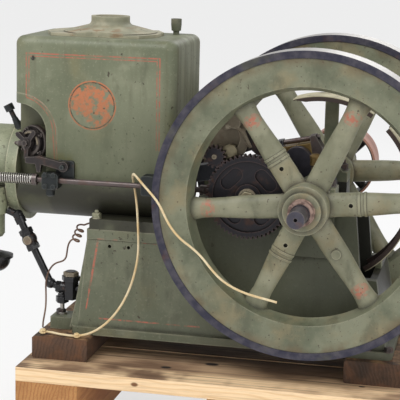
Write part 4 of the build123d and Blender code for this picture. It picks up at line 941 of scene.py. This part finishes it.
def add_gear_parts():
    """A dark disc in the cam gear's web, standing for the cam behind it and filling the web's windows with
    painted shade; a nut on its stud and a cap on the governor lever's pin.
    """
    # The dark disc behind the gear's windows stands in for shade there.
    plate = turned([(0.02, -0.0015), (0.0585, -0.0015), (0.0585, 0.0015), (0.02, 0.0015)],
                   (CAM_X, -0.125, CAM_Z), BACK, 64)
    skin("cam_plate", [plate], "gear", body="cam")
    grids = nut((CAM_X, -0.1405, CAM_Z), FORWARD, 0.021, 0.0045, 0.003)
    grids.append(turned([(0.0125, 0), (0.0125, 0.006), (0.009, 0.0075)], (GOVERNOR_X, -0.1125, GOVERNOR_Z),
                        FORWARD, 32))
    skin("stud_caps", grids, "pale")


def add_governor_parts():
    """The governor's wing, a plate 5 mm thick with a wavy lower edge, and the bent arm in front of it."""
    outline = np.array([(-0.036, 0.553), (-0.016, 0.547), (-0.002, 0.534), (0.006, 0.516), (0.008, 0.499),
                        (-0.003, 0.5), (-0.012, 0.507), (-0.02, 0.504), (-0.031, 0.5)])
    wing = np.stack([np.insert(outline, 1, y, axis=1) for y in (-0.0955, -0.1005)])
    skin("governor_wing", [(wing, True, False)], "dark")
    pivot_x, pivot_z, arm_y = -0.0534, 0.547, -0.115
    arm = [(pivot_x, arm_y, pivot_z), (-0.04, arm_y, 0.5495), (-0.0277, arm_y, 0.5416),
           (-0.0188, arm_y, 0.5286), (-0.0115, arm_y, 0.5135)]
    pivot = turned([(0.007, 0), (0.007, 0.017), (0.005, 0.019)], (pivot_x, -0.0995, pivot_z), FORWARD, 28)
    skin("governor_arm", [tube(arm, 0.0033), pivot], "tan", smooth=True)


def add_oilers():
    """A squat oil cup on each bearing cap: a hexagon foot, a turned cup and a domed lid."""
    grids = []
    for y in BEARING_YS:
        foot = (CRANK_X, y, CRANK_Z + 0.044)
        grids.append(turned([(0.006, 0, 0), (0.006, 0.006, 0)], foot, UP, 24, 6))
        grids.append(turned([(0.004, 0.006), (0.0095, 0.009), (0.0095, 0.021), (0.0102, 0.0215),
                             (0.0102, 0.0245), (0.006, 0.028), (0.002, 0.029)], foot, UP, 28))
    skin("oil_cups", grids, "brass")


def lip_edge(right, foot, centre, radius, left, top):
    """The alcove's edge, each point (x, z): up a straight, round a quarter circle and on to the left."""
    rise = np.linspace(foot, 0.513, 9)[:-1]
    angle = np.linspace(0, pi / 2, 25)
    arc = np.array(centre) + radius * np.column_stack([np.cos(angle), np.sin(angle)])
    return np.concatenate([np.column_stack([np.full(8, right), rise]), arc, [left, (HOPPER_LEFT, top)]])


def add_alcove_lip():
    """A lip that narrows the hopper's alcove: its inner edge turns round an arc of 50 mm, and its outer
    edge is 1 mm inside the casting, whose arc has 70 mm. Near the hopper's corner, of radius r, the
    plate follows y = -(half - r) - sqrt(r^2 - (left + r - x)^2)."""
    depth, proud = 0.02, 0.0002
    inner = lip_edge(-0.3745, CRANK_Z + 0.001, (-0.4245, 0.516), 0.05, (-0.4292, 0.566), 0.566)
    outer = lip_edge(-0.354, CRANK_Z + 0.001, (-0.425, 0.513), 0.071, (-0.4295, 0.584), 0.584)
    rows = []
    for edge, back in ((inner, 0.0), (outer, 0.0), (outer, depth), (inner, depth)):
        into = np.clip(HOPPER_LEFT + HOPPER_CORNER - edge[:, 0], 0, HOPPER_CORNER * 0.98)
        front = -(HOPPER_HALF - HOPPER_CORNER) - np.sqrt(HOPPER_CORNER ** 2 - into ** 2) - proud
        rows.append(np.column_stack([edge[:, 0], front + back, edge[:, 1]]))
    skin("alcove_lip", [(np.stack(rows, 1), True, False)], "hopper")


def add_base_corner():
    """A thin flange on the base's front left corner: at each height it runs from the corner outwards
    and follows the front's slope, y = -0.0978 - 0.016 (0.404 - z) / 0.237."""
    thickness, bevel = 0.004, 0.0012
    z = np.array((0.176, 0.188, 0.219, 0.266, 0.306, 0.352))
    outer = np.array((-0.3262, -0.3235, -0.317, -0.3091, -0.3027, -0.2961))
    down = (0.404 - z) / 0.237
    inner = -0.288 - 0.02 * down
    front = -0.0978 - 0.016 * down
    grid = np.stack([np.column_stack((x, front + back, z)) for x, back in (
        (outer, bevel), (outer + bevel, 0), (inner, 0), (inner, thickness), (outer + bevel, thickness),
        (outer, 0.003))], 1)
    skin("base_corner", [(grid, True, False)], "base")


def studio_floor():
    """A white floor: seen by the camera and in reflections it is mostly plain white, with a soft shadow."""
    f = Finish("studio_floor")
    f.shader.inputs["Roughness"].default_value = 0.9
    f.shader.inputs["Base Color"].default_value = (0.93, 0.93, 0.93, 1)
    rays = f.node("ShaderNodeLightPath")
    seen = rays.most(Wire(f, rays.socket.node.outputs["Is Glossy Ray"])).most(
        Wire(f, rays.socket.node.outputs["Is Transmission Ray"]))
    glow = f.node("ShaderNodeEmission", {}, {"Color": (0.965, 0.965, 0.965), "Strength": 1.0})
    blend = f.node("ShaderNodeMixShader", {}, {0: seen * 0.72, 1: Wire(f, f.shader.outputs[0]), 2: glow})
    f.tree.links.new(blend.socket, f.tree.nodes["Material Output"].inputs["Surface"])
    return f.material


def ignition_route():
    """The ignition wire's points: out of the cylinder's flange, round three turns of a leaning helix,
    down to the base in a slant, and down to the knot."""
    top, foot = np.array((-0.3095, -0.1, 0.3555)), np.array((-0.3205, -0.1005, 0.3285))
    turns, per_turn, reach, tilt = 3, 12, 0.007, radians(15)
    axis = (foot - top) / np.linalg.norm(foot - top)
    out = np.array(FORWARD) + axis[1] * axis
    out /= np.linalg.norm(out)
    side, out = np.cross(out, axis), cos(tilt) * out + sin(tilt) * axis
    points = [(-0.294, -0.097, 0.362), (-0.2985, -0.0957, 0.3605), (-0.303, -0.0942, 0.3583),
              (-0.3065, -0.0933, 0.3567)]
    for step in range(turns * per_turn + 1):
        angle = -2 * pi * step / per_turn - 0.5 * pi
        middle = top + step / (turns * per_turn) * (foot - top)
        points.append(tuple((middle + reach * (cos(angle) * side + sin(angle) * out)).tolist()))
    return points + [
        (-0.3245, -0.0938, 0.3308), (-0.3298, -0.095, 0.3283), (-0.3333, -0.0973, 0.3225),
        (-0.3345, -0.1, 0.3145), (-0.3348, -0.1025, 0.306), (-0.3355, -0.1047, 0.2985),
        (-0.3392, -0.1072, 0.2935), (-0.3455, -0.1085, 0.291), (-0.3525, -0.1105, 0.289),
        (-0.3604, -0.113, 0.2819), (-0.3668, -0.116, 0.2676), (-0.3678, -0.12, 0.2523),
        (-0.365, -0.126, 0.234), (-0.3633, -0.132, 0.215), (-0.364, -0.139, 0.199),
        (*KNOT, 0.188), (*KNOT, 0.18),
    ]


# The cotton lead goes from the knot along the skid, up behind the push rod and down over the wheel
LEAD_ROUTE = [
    (-0.358, -0.144, 0.173), (-0.35, -0.144, 0.173), (-0.337, -0.146, 0.1715), (-0.321, -0.148, 0.171),
    (-0.302, -0.1485, 0.171), (-0.278, -0.1475, 0.177), (-0.255, -0.1455, 0.192), (-0.236, -0.143, 0.212),
    (-0.221, -0.14, 0.236), (-0.21, -0.136, 0.262), (-0.203, -0.131, 0.289), (-0.1995, -0.126, 0.316),
    (-0.2005, -0.121, 0.342), (-0.2035, -0.115, 0.369), (-0.207, -0.108, 0.395), (-0.2105, -0.1052, 0.416),
    (-0.2135, -0.105, 0.432), (-0.2155, -0.1065, 0.445), (-0.2145, -0.1135, 0.454), (-0.2105, -0.124, 0.459),
    (-0.203, -0.14, 0.4595), (-0.1915, -0.16, 0.4565), (-0.178, -0.181, 0.4515), (-0.164, -0.199, 0.4455),
    (-0.151, -0.2095, 0.4365), (-0.141, -0.2115, 0.424), (-0.133, -0.2115, 0.4075), (-0.1225, -0.2115, 0.389),
    (-0.106, -0.2115, 0.371), (-0.086, -0.2115, 0.358), (-0.0685, -0.2115, 0.343), (-0.053, -0.2115, 0.324),
    (-0.035, -0.2115, 0.3065), (-0.012, -0.2115, 0.294), (0.013, -0.2115, 0.286), (0.037, -0.2115, 0.2815),
    (0.0573, -0.2115, 0.2772),
]


def add_cords():
    """The ignition wire with the knot that ties it to the lead, and the lead with its second knot."""
    wire_route = ignition_route()
    wire = thread("ignition_cord", wire_route, WIRE_DIAMETER, "wire")
    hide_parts("ignition_wire_top", "ignition_pigtail", "ignition_wire")
    lead = thread("lead_cord", LEAD_ROUTE, LEAD_DIAMETER, "cotton")
    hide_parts("cotton_lead")
    turns = knot_turns((*KNOT, SKID_TOP), 0.007, 0.006, 0.013)
    knot = skin("lead_tie", turns, "cotton", smooth=True)
    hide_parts("lead_knot")
    low_turns = knot_turns((-0.3015, -0.1485, SKID_TOP + 0.0002), 0.0065, 0.0055, 0.011)
    low_knot = skin("lead_knot_low", low_turns, "cotton", smooth=True)
    line_length(middle_line(wire))
    line_length(middle_line(lead))


def add_spring():
    """The spring round the push rod, as long as its CAD node."""
    low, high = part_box("pushrod_spring")
    coil = helix(0.0084, 0.0012, (low[0], ROD_Y, ROD_Z), (high[0], ROD_Y, ROD_Z), 19)
    spring = skin("pushrod_coil", [coil], "bright", smooth=True)
    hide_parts("pushrod_spring")


def add_floor():
    """A wide floor that runs far back, so that the camera sees no edge of it."""
    mesh = bpy.data.meshes.new("floor")
    mesh.from_pydata([(-30, -12, 0), (30, -12, 0), (30, 60, 0), (-30, 60, 0)], [], [(0, 1, 2, 3)])
    floor = bpy.data.objects.new("floor", mesh)
    bpy.context.collection.objects.link(floor)
    mesh.materials.append(studio_floor())


def light_studio():
    """A white world and three soft lamps: key from the left, fill from the right, one from behind."""
    world = bpy.data.worlds.new("studio")
    bpy.context.scene.world = world
    world.use_nodes = True
    sky = world.node_tree.nodes["Background"].inputs
    sky["Color"].default_value, sky["Strength"].default_value = (1, 1, 1, 1), 0.58
    middle = (0, 0, 0.4)
    add_lamp("key", (-1.4, -2.1, 3.3), middle, 1.6, 72)
    add_lamp("fill", (2.4, -2.2, 1.6), middle, 1.8, 26)
    add_lamp("back", (0.6, 2.6, 2.4), middle, 1.6, 24)


place_camera()
for add_parts in (add_cords, add_bolts, add_igniter_parts, add_guide_parts, add_fuel_parts, add_gear_parts,
                  add_governor_parts, add_oilers, add_alcove_lip, add_base_corner, add_spring):
    add_parts()
add_floor()
light_studio()

bpy.context.scene.view_settings.view_transform = "Standard"
